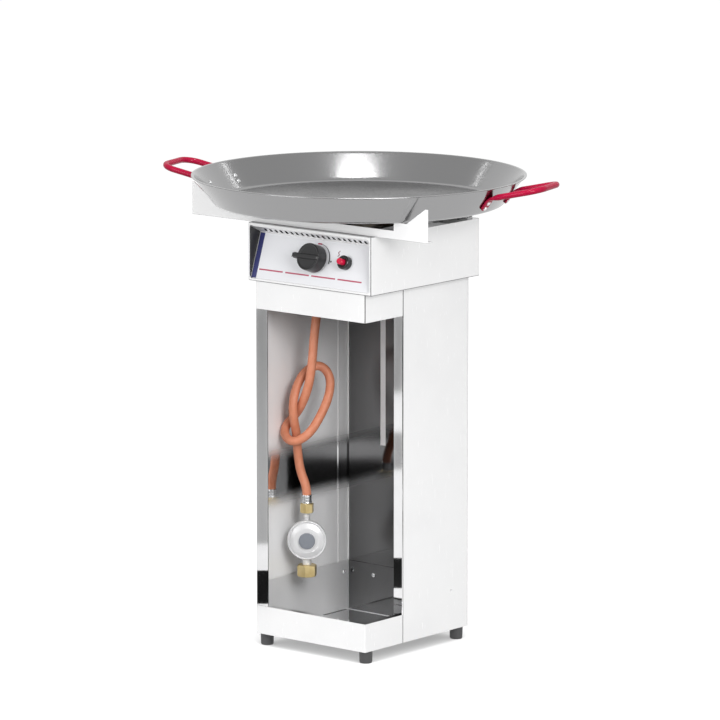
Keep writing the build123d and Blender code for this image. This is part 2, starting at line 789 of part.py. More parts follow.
with BuildPart() as electrode_rod:
    rod_start = electrode_length - electrode_lead_in
    rod(electrode_site, electrode_rod_diameter, rod_start, rod_start + electrode_rod_length)
save(electrode_rod, "electrode_rod")

with BuildPart() as igniter_lead:
    lead_start = igniter_site.from_local_coords(Vector(0, 0, igniter_end))
    lead_end = electrode_site.from_local_coords(Vector(0, 0, -electrode_lead_in))
    with BuildLine() as lead_path:
        FilletPolyline(
            lead_start,
            lead_start - panel_out * lead_run,
            lead_end - Vector(0, lead_run, 0),
            lead_end,
            radius=lead_bend,
        )
    with BuildSketch(Plane(lead_path.line @ 0, z_dir=lead_path.line % 0)):
        Circle(lead_diameter / 2)
    sweep(path=lead_path.line)
save(igniter_lead, "igniter_lead")

# Gas inlet through the box's bottom, with the pipe that feeds the valve
riser_top = sheet + inlet_hex_height + riser_height
hose_nut_top = -lock_nut_height - hose_top_nut_gap
hose_top = hose_nut_top - hose_nut_height - ferrule_length

with BuildPart() as gas_inlet:
    rod(inlet_site, inlet_diameter, -inlet_reach, sheet)
    hexagon(inlet_site, inlet_hex_width, sheet, sheet + inlet_hex_height)
    rod(inlet_site, riser_diameter, sheet + inlet_hex_height, riser_top)
save(gas_inlet, "gas_inlet")

with BuildPart() as inlet_lock_nut:
    hexagon(inlet_site, inlet_hex_width, -lock_nut_height, 0)
    drill(inlet_site.offset(-lock_nut_height), inlet_diameter + 2 * slip_fit, lock_nut_height + cut_margin)
save(inlet_lock_nut, "inlet_lock_nut")

with BuildPart() as supply_pipe:
    pipe_start = inlet_site.from_local_coords(Vector(0, 0, riser_top))
    pipe_end = inlet_port.from_local_coords(Vector(0, 0, port_end))
    with BuildLine() as supply_path:
        FilletPolyline(
            pipe_start,
            (hose_x, hose_y, pipe_end.Z),
            (hose_x, pipe_end.Y, pipe_end.Z),
            pipe_end,
            radius=supply_bend,
        )
    with BuildSketch(Plane(supply_path.line @ 0, z_dir=supply_path.line % 0)):
        Circle(supply_diameter / 2)
    sweep(path=supply_path.line)
save(supply_pipe, "supply_pipe")

# Hose: fittings at the top, the knotted tube, fittings at its lower end
heading = math.radians(hose_heading)
hose_across = Vector(math.cos(heading), math.sin(heading), 0)
hose_away = Vector(-math.sin(heading), math.cos(heading), 0)
hose_start = Vector(hose_x, hose_y, box_bottom + hose_top)
hose_points = [
    hose_start + hose_across * across + hose_away * away - Vector(0, 0, drop)
    for across, away, drop in hose_route
]
hose_end = hose_points[-1]
end_site = Plane(hose_end)


def bend_radii(points):
    """For each inner point of a route, the largest bend that its two runs leave room for."""
    radii = []
    for before, here, after in zip(points, points[1:], points[2:]):
        turn = math.radians((here - before).get_angle(after - here))
        shorter = min((here - before).length, (after - here).length)
        radii.append(hose_bend_share * shorter / math.tan(turn / 2))
    return radii


with BuildPart() as hose_top_nut:
    hexagon(inlet_site, hose_nut_width, hose_nut_top - hose_nut_height, hose_nut_top)
    rod(inlet_site, hose_tail_diameter, hose_top, hose_nut_top, mode=Mode.SUBTRACT)
    rod(inlet_site, inlet_diameter + 2 * slip_fit, -inlet_reach, 0, mode=Mode.SUBTRACT)
save(hose_top_nut, "hose_top_nut")

with BuildPart() as hose_top_ferrule:
    rod(inlet_site, ferrule_diameter, hose_top, hose_top + ferrule_length)
save(hose_top_ferrule, "hose_top_ferrule")

with BuildPart() as gas_hose:
    with BuildLine() as hose_path:
        FilletPolyline(*hose_points, radius=bend_radii(hose_points))
    with BuildSketch(Plane(hose_path.line @ 0, z_dir=hose_path.line % 0)):
        Circle(hose_diameter / 2)
    sweep(path=hose_path.line)
save(gas_hose, "gas_hose")

with BuildPart() as hose_ferrule:
    rod(end_site, ferrule_diameter, -ferrule_length, 0)
save(hose_ferrule, "hose_ferrule")

nut_bottom = -ferrule_length - hose_nut_height
neck_top = nut_bottom + neck_grip

with BuildPart() as hose_nut:
    hexagon(end_site, hose_nut_width, nut_bottom, -ferrule_length)
    rod(end_site, neck_diameter + 2 * slip_fit, nut_bottom, neck_top, mode=Mode.SUBTRACT)
save(hose_nut, "hose_nut")

# Regulator: a round body that faces the front right corner, with its cover, cap and inlet
regulator_centre = hose_end - Vector(0, 0, regulator_drop)
regulator_face = Plane(regulator_centre, z_dir=-hose_away)
regulator_out = Axis(regulator_centre, -hose_away)
drop_site = Plane(regulator_centre)
body_front = regulator_thickness / 2

with BuildPart() as regulator_body:
    rod(regulator_face, regulator_diameter, -body_front, body_front)
    fillet(regulator_body.edges().group_by(regulator_out)[0], regulator_edge)
    rod(drop_site, neck_diameter, 0, regulator_drop + neck_top)
    rod(drop_site, spigot_boss_diameter, -spigot_boss_drop, 0)
save(regulator_body, "regulator_body")

with BuildPart() as regulator_cover:
    rod(regulator_face, regulator_diameter, body_front, body_front + cover_rim)
    fillet(regulator_cover.edges().group_by(regulator_out)[-1], cover_rim / 2)
    rod(regulator_face, cover_dome_diameter, body_front, body_front + cover_dome)
    fillet(regulator_cover.edges().group_by(regulator_out)[-1], (cover_dome - cover_rim) / 2)
save(regulator_cover, "regulator_cover")

with BuildPart() as regulator_cap:
    rod(regulator_face, cap_diameter, body_front + cover_dome, body_front + cover_dome + cap_height)
    fillet(regulator_cap.edges().group_by(regulator_out)[-1], cap_height / 4)
save(regulator_cap, "regulator_cap")

flange_bottom = -spigot_boss_drop - spigot_length
flange_seat = flange_bottom + spigot_flange_height
nut_shoulder = flange_seat + nut_play
inlet_nut_top = nut_shoulder + inlet_nut_roof
inlet_nut_bottom = inlet_nut_top - inlet_nut_height
relief_start = flange_bottom - seal_height - nut_play

with BuildPart() as regulator_spigot:
    rod(drop_site, spigot_diameter, flange_bottom, -spigot_boss_drop)
    rod(drop_site, spigot_flange_diameter, flange_bottom, flange_seat)
save(regulator_spigot, "regulator_spigot")

with BuildPart() as inlet_seal:
    rod(drop_site, seal_diameter, flange_bottom - seal_height, flange_bottom)
    rod(drop_site, seal_bore, flange_bottom - seal_height, flange_bottom, mode=Mode.SUBTRACT)
save(inlet_seal, "inlet_seal")

with BuildPart() as regulator_inlet_nut:
    hexagon(drop_site, inlet_nut_width, inlet_nut_bottom, inlet_nut_top)
    rod(drop_site, inlet_nut_bore, inlet_nut_bottom - cut_margin, relief_start, mode=Mode.SUBTRACT)
    rod(drop_site, inlet_nut_relief, relief_start, nut_shoulder, mode=Mode.SUBTRACT)
    rod(drop_site, spigot_diameter + 2 * nut_play, nut_shoulder, inlet_nut_top, mode=Mode.SUBTRACT)
save(regulator_inlet_nut, "regulator_inlet_nut")

# Pan supports: folded plates on the deck, the front one long enough for two horns
support_top = box_top + support_height
notch_floor = support_top - support_notch_depth
horn_top = support_top + front_horn_rise
pan_wall_rise = pan_depth - pan_sheet
pan_wall_run = pan_rim_radius - pan_lip - pan_base_radius


def pan_chord(rise):
    """Half the width of the pan's wall over the front support, at a height over the pan's base."""
    radius = pan_base_radius + pan_wall_run * rise / pan_wall_rise
    return math.sqrt(radius ** 2 - front_support_y ** 2)


shoulder_end = pan_chord(0) + front_horn_foot_gap
notch_end = shoulder_end - front_shoulder
horn_start = pan_chord(front_horn_rise) + front_horn_tip_gap
support_end = horn_start + front_horn_tip

with BuildPart() as front_pan_support:
    with BuildSketch(Plane.XZ.offset(-front_support_y)):
        with BuildLine():
            Polyline(
                (-support_end, box_top),
                (support_end, box_top),
                (support_end, horn_top),
                (horn_start, horn_top),
                (shoulder_end, support_top),
                (notch_end, support_top),
                (notch_end, notch_floor),
                (-notch_end, notch_floor),
                (-notch_end, support_top),
                (-shoulder_end, support_top),
                (-horn_start, horn_top),
                (-support_end, horn_top),
                close=True,
            )
        make_face()
    extrude(amount=-support_sheet)
    block(
        -support_end, support_end, front_support_y, front_support_y + support_sheet + support_flange,
        box_top, box_top + support_sheet
    )
    for site in support_sites[:2]:
        drill(site, screw_hole, support_sheet + cut_margin)
save(front_pan_support, "front_pan_support")

with BuildPart() as rear_pan_support:
    rear_left = cabinet_x - rear_support_length / 2
    rear_right = cabinet_x + rear_support_length / 2
    block(rear_left, rear_right, rear_support_y - support_sheet, rear_support_y, box_top, support_top)
    block(
        cabinet_x - rear_notch_width / 2, cabinet_x + rear_notch_width / 2,
        rear_support_y - 2 * support_sheet, rear_support_y + support_sheet, notch_floor,
        support_top + cut_margin, mode=Mode.SUBTRACT
    )
    block(
        rear_left, rear_right, rear_support_y - support_sheet - support_flange, rear_support_y,
        box_top, box_top + support_sheet
    )
    for site in support_sites[2:]:
        drill(site, screw_hole, support_sheet + cut_margin)
save(rear_pan_support, "rear_pan_support")

with BuildPart() as support_screws:
    for site in support_sites:
        screw(site, support_sheet + sheet + cut_margin)
save(support_screws, "support_screws")

# Pan: a flat base, a sloping wall and a small lip, spun from one sheet
pan_base = support_top + pan_sheet / 2
pan_top = support_top + pan_depth
wall_angle = math.atan2(pan_wall_rise, pan_wall_run)
rivet_hole = rivet_diameter + 2 * slip_fit


def handle_foot_sites(angle):
    """The two planes on the pan's outer wall that carry a handle's feet, with normals pointing out."""
    radius = pan_base_radius + handle_foot_slant * math.cos(wall_angle)
    height = pan_base + handle_foot_slant * math.sin(wall_angle)
    half_turn = math.degrees(math.asin(handle_foot_spread / 2 / radius))
    sites = []
    for side in (-1, 1):
        around = math.radians(angle + side * half_turn)
        outward = Vector(math.cos(around), math.sin(around), 0)
        normal = outward * math.sin(wall_angle) - Vector(0, 0, math.cos(wall_angle))
        tangent = Vector(-math.sin(around), math.cos(around), 0)
        on_wall = outward * radius + Vector(0, 0, height) + normal * (pan_sheet / 2)
        sites.append(Plane(on_wall, x_dir=tangent, z_dir=normal))
    return sites


handle_angles = {"right_handle": handle_angle, "left_handle": handle_angle + 180}
rivet_sites = [
    Plane(
        foot_site.from_local_coords(Vector(0, rise, 0)),
        x_dir=foot_site.x_dir,
        z_dir=foot_site.z_dir,
    )
    for angle in handle_angles.values()
    for foot_site in handle_foot_sites(angle)
    for rise in rivet_rises
]

with BuildPart() as pan:
    with BuildSketch(Plane.XZ):
        with BuildLine():
            FilletPolyline(
                (0, pan_base),
                (pan_base_radius, pan_base),
                (pan_base_radius + pan_wall_run, pan_base + pan_wall_rise),
                (pan_rim_radius, pan_base + pan_wall_rise),
                radius=[pan_base_bend, pan_lip_bend],
            )
        trace(line_width=pan_sheet)
    revolve(axis=Axis.Z)
    for site in rivet_sites:
        rod(site, rivet_hole, -2 * pan_sheet, pan_sheet, mode=Mode.SUBTRACT)
save(pan, "pan")

# Handles: bent rods with flattened feet, riveted on opposite sides of the pan
for handle_name, angle in handle_angles.items():
    with BuildPart() as handle:
        foot_pair = handle_foot_sites(angle)
        around = math.radians(angle)
        outward = Vector(math.cos(around), math.sin(around), 0)
        tangent = Vector(-math.sin(around), math.cos(around), 0)
        root = Vector(0, handle_root_rise, handle_foot_sheet)
        grip_middle = outward * (pan_rim_radius + handle_reach) + Vector(0, 0, pan_top + handle_lift)
        with BuildLine() as handle_path:
            FilletPolyline(
                foot_pair[0].from_local_coords(root),
                grip_middle - tangent * (handle_width / 2),
                grip_middle + tangent * (handle_width / 2),
                foot_pair[1].from_local_coords(root),
                radius=handle_bend,
            )
        with BuildSketch(Plane(handle_path.line @ 0, z_dir=handle_path.line % 0)):
            Circle(handle_rod / 2)
        sweep(path=handle_path.line)
        for foot_site in foot_pair:
            with BuildSketch(foot_site):
                RectangleRounded(handle_foot_width, handle_foot_length, handle_foot_corner)
            extrude(amount=handle_foot_sheet)
        for site in rivet_sites:
            rod(site, rivet_hole, -pan_sheet, handle_foot_sheet + cut_margin, mode=Mode.SUBTRACT)
    save(handle, handle_name)

with BuildPart() as pan_rivets:
    for site in rivet_sites:
        inner = -pan_sheet - slip_fit
        rod(site, rivet_diameter, inner, handle_foot_sheet)
        rod(site, rivet_head_diameter, inner - rivet_head_height, inner)
        rod(site, rivet_head_diameter, handle_foot_sheet, handle_foot_sheet + rivet_head_height)
save(pan_rivets, "pan_rivets")

# Hose facts: bend radii, volume against section times length, and the least gap between strands
hose_wire = hose_path.wire()
hose_length = hose_wire.length
hose_section = math.pi * (hose_diameter / 2) ** 2
sample_step = 4.0
sample_count = int(hose_length / sample_step)
samples = [hose_wire @ (i / sample_count) for i in range(sample_count + 1)]
apart = int(hose_gap_skip * hose_diameter / sample_step)
least_gap = min(
    (samples[i] - samples[j]).length - hose_diameter
    for i in range(len(samples))
    for j in range(i + apart, len(samples))
)
print("hose radii", [round(radius, 1) for radius in bend_radii(hose_points)])
print("hose length", round(hose_length, 1))
print("hose volume ratio", round(gas_hose.part.volume / hose_section / hose_length, 4))
print("hose least gap", round(least_gap, 2))
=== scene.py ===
"""Looks of a gas grill: a wide shallow pan with two red handles over a control box, on an open cabinet stand
that holds a knotted hose and a regulator. Lengths are millimetres in the model's own frame, where x runs to
the cook's right, the front is at -y and the floor at z = 0; they become metres where they enter a mesh."""

import math
from functools import partialmethod

import bpy
import numpy as np
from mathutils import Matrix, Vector


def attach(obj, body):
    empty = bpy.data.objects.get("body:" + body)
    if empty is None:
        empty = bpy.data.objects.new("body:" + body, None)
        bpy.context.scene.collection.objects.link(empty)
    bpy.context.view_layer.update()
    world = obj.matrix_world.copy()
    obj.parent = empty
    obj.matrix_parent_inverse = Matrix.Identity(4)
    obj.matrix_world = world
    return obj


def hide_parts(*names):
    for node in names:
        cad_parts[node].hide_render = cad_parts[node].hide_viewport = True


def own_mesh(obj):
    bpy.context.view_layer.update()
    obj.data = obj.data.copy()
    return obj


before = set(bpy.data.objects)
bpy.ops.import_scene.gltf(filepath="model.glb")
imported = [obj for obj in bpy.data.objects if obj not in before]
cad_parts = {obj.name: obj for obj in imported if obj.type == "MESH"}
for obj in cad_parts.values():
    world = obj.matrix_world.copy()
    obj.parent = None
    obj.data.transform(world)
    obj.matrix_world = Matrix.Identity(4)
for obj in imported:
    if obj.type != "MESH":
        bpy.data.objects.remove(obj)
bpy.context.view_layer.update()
scene = bpy.context.scene
scene.view_settings.view_transform = "Standard"

MM = 0.001
FULL_TURN = 2 * math.pi
RIGHT = np.array((1.0, 0.0, 0.0))
BACK = np.array((0.0, 1.0, 0.0))
UP = np.array((0.0, 0.0, 1.0))

# ---------------- camera
camera_data = bpy.data.cameras.new("camera")
camera_data.sensor_width = 36.0
camera_data.lens = 283.249
camera_data.shift_x = -0.00565
camera_data.shift_y = -0.10417
camera_data.clip_end = 100.0
camera = bpy.data.objects.new("camera", camera_data)
camera.location = (6.41936, -7.67761, 2.27531)
camera.rotation_euler = (math.radians(80.7709), 0.0, math.radians(39.8467))
scene.collection.objects.link(camera)
scene.camera = camera

# ---------------- hose line
hose_diameter = 16.0
hose_start = np.array((-53.0, -50.0, 621.0))
hose_heading = math.radians(39.5)
hose_across = np.array((math.cos(hose_heading), math.sin(hose_heading), 0.0))
hose_away = np.array((-math.sin(hose_heading), math.cos(hose_heading), 0.0))
# Across the knot, away from the front right corner, and down from the top end
hose_route = np.array(
    [
        *((0, 0, 0), (-3, 0, 24), (-8, -5, 68), (-11, -13, 112), (-17, -15, 152), (-30, -1, 190)),
        *((-45, 15, 214), (-60, 14, 230), (-61, -3, 247), (-43, -20, 255), (-16, -20, 239), (5, -10, 206)),
        *((20, 6, 172), (22, 19, 140), (4, 24, 119), (-21, 17, 127), (-38, 3, 151), (-46, -9, 181)),
        *((-45, -12, 209), (-39, 4, 244), (-38, 11, 276), (-33, 9, 312), (-22, 5, 338), (-21, 5, 354)),
    ],
    float,
)
hose_points = hose_start + hose_route @ np.stack([hose_across, hose_away, -UP])
hose_end = hose_points[-1]

hose_curve = bpy.data.curves.new("gas_hose_tube", "CURVE")
hose_curve.dimensions = "3D"
hose_curve.resolution_u = 12
hose_curve.bevel_depth = hose_diameter / 2 * MM
hose_curve.bevel_resolution = 8
hose_curve.use_fill_caps = True
hose_spline = hose_curve.splines.new("NURBS")
hose_spline.points.add(len(hose_points) - 1)
hose_spline.points.foreach_set("co", np.column_stack([hose_points * MM, np.ones(len(hose_points))]).ravel())
hose_spline.order_u = 3
hose_spline.use_endpoint_u = True
hose = bpy.data.objects.new("gas_hose_tube", hose_curve)
scene.collection.objects.link(hose)


# ---------------- shader expressions
class Value:
    """A shader socket that can stand in an expression: each operator adds the Math node that it needs."""

    def __init__(self, finish, socket):
        self.finish = finish
        self.socket = socket

    def math(self, operation, *others):
        return self.finish.math(operation, self, *others)

    __add__ = __radd__ = partialmethod(math, "ADD")
    __mul__ = __rmul__ = partialmethod(math, "MULTIPLY")
    __sub__ = partialmethod(math, "SUBTRACT")
    __truediv__ = partialmethod(math, "DIVIDE")
    __pow__ = partialmethod(math, "POWER")
    __abs__ = partialmethod(math, "ABSOLUTE")
    __lt__ = partialmethod(math, "LESS_THAN")
    __gt__ = partialmethod(math, "GREATER_THAN")
    least = partialmethod(math, "MINIMUM")
    most = partialmethod(math, "MAXIMUM")

    def __rsub__(self, other):
        return self.finish.math("SUBTRACT", other, self)

    def fade(self, start, end):
        """0 at start and 1 at end, eased between them; start may be the larger."""
        return self.finish.node(
            "ShaderNodeMapRange",
            {"interpolation_type": "SMOOTHSTEP"},
            {"Value": self, "From Min": start, "From Max": end},
        )

    def within(self, low, high, soft):
        """1 between low and high, eased to 0 over soft at either side."""
        return self.fade(low - soft, low) * self.fade(high + soft, high)


class Tree:
    """The nodes of one material or world."""

    def __init__(self, tree):
        self.tree = tree

    def feed(self, socket, value):
        if isinstance(value, Value):
            self.tree.links.new(value.socket, socket)
        elif isinstance(value, tuple) and len(value) == 3 and len(socket.default_value) == 4:
            socket.default_value = (*value, 1.0)
        else:
            socket.default_value = value

    def node(self, kind, settings=None, sockets=None, out=0):
        """Any node: its settings are set first, then its sockets' values or links."""
        made = self.tree.nodes.new(kind)
        for setting, value in (settings or {}).items():
            setattr(made, setting, value)
        for socket, value in (sockets or {}).items():
            self.feed(made.inputs[socket], value)
        return Value(self, made.outputs[out])

    def math(self, operation, *values):
        return self.node("ShaderNodeMath", {"operation": operation}, dict(enumerate(values)))

    def mix(self, share, first, second):
        """A colour between two colours."""
        return self.node("ShaderNodeMix", {"data_type": "RGBA"}, {0: share, 6: first, 7: second}, out=2)

    def ray(self, *kinds):
        """1 for a ray of these kinds (Camera, Glossy, Transmission), and 0 for any other."""
        first, *others = (self.node("ShaderNodeLightPath", out=f"Is {kind} Ray") for kind in kinds)
        for other in others:
            first = first.most(other)
        return first


class Finish(Tree):
    """One procedural material: a Principled shader, its constants, and what varies over the surface."""

    def __init__(self, name, **constants):
        self.material = bpy.data.materials.new(name)
        self.material.use_nodes = True
        super().__init__(self.material.node_tree)
        self.shader = self.tree.nodes["Principled BSDF"]
        self.dress(**constants)
        self.place = self.node("ShaderNodeTexCoord", out="Object")
        self.x, self.y, self.z = (
            self.node("ShaderNodeSeparateXYZ", None, {"Vector": self.place}, out=axis) for axis in "XYZ"
        )

    def stretched(self, *scale):
        """The surface's own place with each axis scaled, so that a noise becomes a grain."""
        return self.node("ShaderNodeVectorMath", {"operation": "MULTIPLY"}, {0: self.place, 1: scale})

    def noise(self, size, detail=2.0, vector=None):
        """Noise from 0 to 1 whose lumps are about size millimetres across."""
        sockets = {"Vector": vector or self.place, "Scale": 1 / (size * MM), "Detail": detail}
        return self.node("ShaderNodeTexNoise", None, sockets)

    def lathe_lines(self, along, size):
        """Noise from 0 to 1 in rings along a distance, about size millimetres apart."""
        sockets = {"W": along, "Scale": 1 / (size * MM), "Detail": 3.0}
        return self.node("ShaderNodeTexNoise", {"noise_dimensions": "1D"}, sockets)

    def bump(self, height, depth, strength=1.0, over=None):
        """The surface's normal, tilted by a height from 0 to 1 that stands for depth millimetres."""
        sockets = {"Height": height, "Distance": depth * MM, "Strength": strength}
        if over is not None:
            sockets["Normal"] = over
        return self.node("ShaderNodeBump", None, sockets)

    def dress(self, **sockets):
        """Give the shader's sockets their values or links."""
        for socket, value in sockets.items():
            self.feed(self.shader.inputs[socket.replace("_", " ")], value)
        return self.material


def sheet_steel():
    """Stainless sheet. Outside it is pale satin, with painted dark lines along its bends and edges that stand
    in for shade and dark reflections. Inside the stand it is polished: the left wall is hazy and light but
    for a rubbed band, and the back wall is painted dark as shade, with one light strip down it that is a
    painted reflection.
    The deck, and the flange at the left of the opening, are polished too; the deck is painted darker as shade
    under the pan. Inside the control box and in the brow's slots it is dull and dark, and a line along the
    deck
    in front of the pan support is dark: all three are painted shade. Half a sheet inside the outer faces
    tells inside from outside."""
    finish = Finish("sheet_steel")
    x, y, z = finish.x, finish.y, finish.z
    soft, tray_top, box_bottom = 0.0001, 0.0245, 0.664
    middle, stand_half, box_half = 0.012, 0.1266, 0.1416

    def room(sides, ends, heights):
        """1 between two sides, two ends and two heights."""
        return x.within(*sides, soft) * y.within(*ends, soft) * z.within(*heights, soft)

    inside = room((-0.1152, 0.1392), (-0.1492, 0.1046), (0.0228, 0.6632))
    flange = x.within(-0.1141, -0.0876, soft) * (y < -0.1485) * z.within(0.0735, 0.6135, soft)
    deck_with_painted_shade = z.within(0.7676, 0.7684, soft)
    stand = inside.most(flange).most(deck_with_painted_shade)
    behind_panel = (y > -0.1190).most(x < -0.1285)
    # Inside the control box, behind the panel: painted shade
    box_inside_painted_shade = room((-0.1302, 0.1542), (-0.1512, 0.1512), (0.6648, 0.7672)) * behind_panel
    below_brow = (y + 0.13375) * -0.4344 + (z - 0.75525) * -0.9009 < 0.0006
    # The brow's slots: painted shade
    slot_painted_shade = below_brow * room((-0.1293, 0.1533), (-0.1462, -0.1213), (0.7475, 0.7628))
    # A line along the deck in front of the pan support: a painted shadow line
    gap_line_painted_shade = (z > 0.7676) * y.within(-0.1509, -0.1412, soft)
    stand_corners = (x < -0.1141).most((x > 0.1386) * (z > 0.5)) * (y < -0.1490) * (z < box_bottom)
    seam = y.within(-0.0460, -0.0442, soft) * (x > 0.1390) * (z < box_bottom)
    box_corners = (x < -0.1292).most(x > 0.1533) * (y < -0.1508) * (z > box_bottom)
    box_foot = z.within(0.6636, 0.6649, soft)
    off_middle = abs(x - middle)
    stand_rear = (off_middle > stand_half) * (y > 0.1371) * (z < box_bottom)
    box_rear = (off_middle > box_half) * (y > 0.1497) * (z > box_bottom)
    # Painted dark lines along the outer bends and edges: painted shade and painted dark reflection
    front_painted_bend_shade = stand_corners.most(seam).most(box_corners).most(box_foot)
    painted_bend_shade = front_painted_bend_shade.most(0.5 * stand_rear.most(box_rear)) * (1 - stand)
    rubbed = z.within(0.275, 0.325, 0.04)
    left_wall = inside * (x < -0.1105) * (y > -0.145) * (z > tray_top)
    hazy = left_wall * (1 - rubbed) * (0.75 + 0.25 * (z > 0.1165))
    # The back wall inside the stand, its polished tone painted dark as shade
    painted_dark_back_wall = inside * (y > 0.1005) * (z > tray_top)
    # A light strip down the back wall, matt and lit by the lamps: a painted reflection
    painted_reflection_strip = painted_dark_back_wall * x.within(-0.0355, -0.0245, 0.001) * (z > 0.338)
    # The left wall's haze, joined with the painted reflection strip
    haze_and_painted_strip = hazy.most(painted_reflection_strip)
    grain = finish.noise(0.6, 2.0, finish.stretched(1.0, 1.0, 0.02))
    smudge = finish.noise(90.0, 3.0)
    outer = finish.mix(smudge.fade(0.35, 0.75), (0.93, 0.93, 0.932), (0.90, 0.90, 0.904))
    # Painted shade and reflection: the bend and edge lines darken the outside tone
    outer = finish.mix(painted_bend_shade, outer, (0.16, 0.16, 0.162))
    polished = finish.mix(smudge.fade(0.3, 0.7), (0.84, 0.84, 0.845), (0.76, 0.76, 0.765))
    # Painted shade: the back wall's tone is darkened
    polished = finish.mix(painted_dark_back_wall, polished, (0.20, 0.20, 0.202))
    # Painted shade: the polished deck under the pan is darkened
    polished = finish.mix(deck_with_painted_shade, polished, (0.32, 0.32, 0.323))
    # A light tone for the hazy left wall and for the painted reflection strip
    polished = finish.mix(haze_and_painted_strip, polished, (0.92, 0.92, 0.925))
    tone = finish.mix(stand, outer, polished)
    gloss = 0.035 + 0.03 * smudge + 0.34 * haze_and_painted_strip
    waves = finish.bump(finish.noise(170.0, 1.0), 0.7, 0.3)
    return finish.dress(
        # Painted shade: inside the control box, in the brow's slots and along the deck's line in front of the
        # support
        Base_Color=finish.mix(box_inside_painted_shade.most(slot_painted_shade).most(gap_line_painted_shade), tone, (0.06, 0.06, 0.061)),
        Metallic=(0.35 + 0.65 * stand) * (1 - 0.9 * haze_and_painted_strip),
        Roughness=(1 - stand) * (0.2 + 0.1 * grain) + stand * gloss,
        Normal=finish.bump(grain, 0.003, 0.15, waves),
    )


def pan_steel():
    """Spun steel: fine turned lines up the wall and lip, and a dull base with shallow hammered dimples."""
    finish = Finish("pan_steel", Metallic=1.0, Anisotropic=0.7)
    radius = (finish.x * finish.x + finish.y * finish.y) ** 0.5
    base = radius.fade(0.2545, 0.2515)
    wall_cosine, wall_sine = 0.605, 0.796
    lines = finish.lathe_lines(radius * wall_cosine + finish.z * wall_sine, 0.6)
    dimples = finish.node(
        "ShaderNodeTexVoronoi",
        {"feature": "SMOOTH_F1"},
        {"Vector": finish.place, "Scale": 140.0, "Smoothness": 0.6},
    )
    speckle = finish.noise(2.2, 2.0)
    cloud = finish.noise(120.0, 2.0)
    wear = (speckle * 0.7 + cloud * 0.3).fade(0.38, 0.62)
    worn = finish.mix(wear, (0.19, 0.19, 0.192), (0.35, 0.35, 0.352))
    wall = finish.mix(lines, (0.29, 0.29, 0.292), (0.36, 0.36, 0.362))
    turned = finish.bump(lines * (1 - base), 0.015, 0.2)
    pitted = finish.bump(speckle * base, 0.3, 0.5, turned)
    return finish.dress(
        Base_Color=finish.mix(base, wall, worn),
        Roughness=0.10 + 0.05 * lines + 0.28 * base,
        Normal=finish.bump(dimples * base, 0.5, 0.35, pitted),
    )


def burner_steel():
    """Dull tube steel, tinted straw and blue by heat along the flame slots."""
    finish = Finish("burner_steel", Metallic=1.0)
    heat = finish.z.fade(0.738, 0.7495) * finish.noise(18.0, 3.0).fade(0.25, 0.7)
    straw = finish.mix(heat, (0.55, 0.54, 0.53), (0.50, 0.37, 0.22))
    tint = finish.mix(heat.fade(0.55, 1.0), straw, (0.24, 0.25, 0.36))
    return finish.dress(
        Base_Color=tint,
        Roughness=0.34 + 0.18 * finish.noise(6.0),
        Normal=finish.bump(finish.noise(1.5), 0.02, 0.4),
    )


def zinc_steel():
    """Bright plating with a faint turned grain and small dull spots."""
    finish = Finish("zinc_steel", Metallic=1.0)
    spots = finish.noise(1.8, 3.0)
    return finish.dress(
        Base_Color=finish.mix(spots.fade(0.45, 0.75), (0.80, 0.805, 0.81), (0.62, 0.63, 0.645)),
        Roughness=0.16 + 0.16 * spots,
        Normal=finish.bump(finish.noise(0.5), 0.01, 0.3),
    )


def painted_red():
    """Thick glossy crimson coating with a faint orange peel, a little darker where it pools."""
    finish = Finish(
        "handle_red", Roughness=0.36, Coat_Roughness=0.05, Coat_Weight=0.15, Specular_IOR_Level=0.1
    )
    pool = finish.noise(9.0, 2.0)
    return finish.dress(
        Base_Color=finish.mix(pool, (0.41, 0.003, 0.042), (0.34, 0.002, 0.032)),
        Normal=finish.bump(finish.noise(2.4, 1.0), 0.05, 0.35),
    )


def brass():
    """Turned brass: a fine lathe grain round the upright axis and slightly browned patches."""
    finish = Finish("brass", Metallic=0.85)
    grain = finish.lathe_lines(finish.z, 0.33)
    patina = finish.noise(16.0, 2.0)
    return finish.dress(
        Base_Color=finish.mix(patina.fade(0.35, 0.8), (0.76, 0.61, 0.31), (0.64, 0.48, 0.21)),
        Roughness=0.24 + 0.1 * patina + 0.08 * grain,
        Normal=finish.bump(grain, 0.02, 0.3),
    )


def regulator_metal():
    """Satin painted die-casting, nearly white, with a very fine cast grain."""
    finish = Finish("regulator_metal", Metallic=0.25)
    grain = finish.noise(0.8, 2.0)
    return finish.dress(
        Base_Color=finish.mix(finish.noise(14.0), (0.75, 0.75, 0.755), (0.70, 0.70, 0.71)),
        Roughness=0.26 + 0.12 * grain,
        Normal=finish.bump(grain, 0.02, 0.35),
    )


def moulded(name, light, dark, roughness, grain_size, grain_depth):
    """Moulded plastic or rubber: a fine skin grain, and a slow drift between two near colours."""
    finish = Finish(name)
    skin = finish.noise(grain_size, 2.0)
    return finish.dress(
        Base_Color=finish.mix(finish.noise(grain_size * 14), light, dark),
        Roughness=roughness + 0.1 * (skin - 0.5),
        Normal=finish.bump(skin, grain_depth, 0.5),
    )


def hose_rubber():
    """Smooth orange rubber: faint lengthwise mould lines, dusty bloom and a soft sheen."""
    finish = Finish("hose_orange", Specular_IOR_Level=0.4)
    bloom = finish.noise(11.0, 3.0)
    lines = finish.noise(1.1, 2.0, finish.stretched(1.0, 1.0, 0.05))
    return finish.dress(
        Base_Color=finish.mix(bloom.fade(0.3, 0.75), (0.64, 0.225, 0.12), (0.69, 0.27, 0.16)),
        Roughness=0.4 + 0.14 * bloom,
        Normal=finish.bump(lines, 0.08, 0.35),
    )


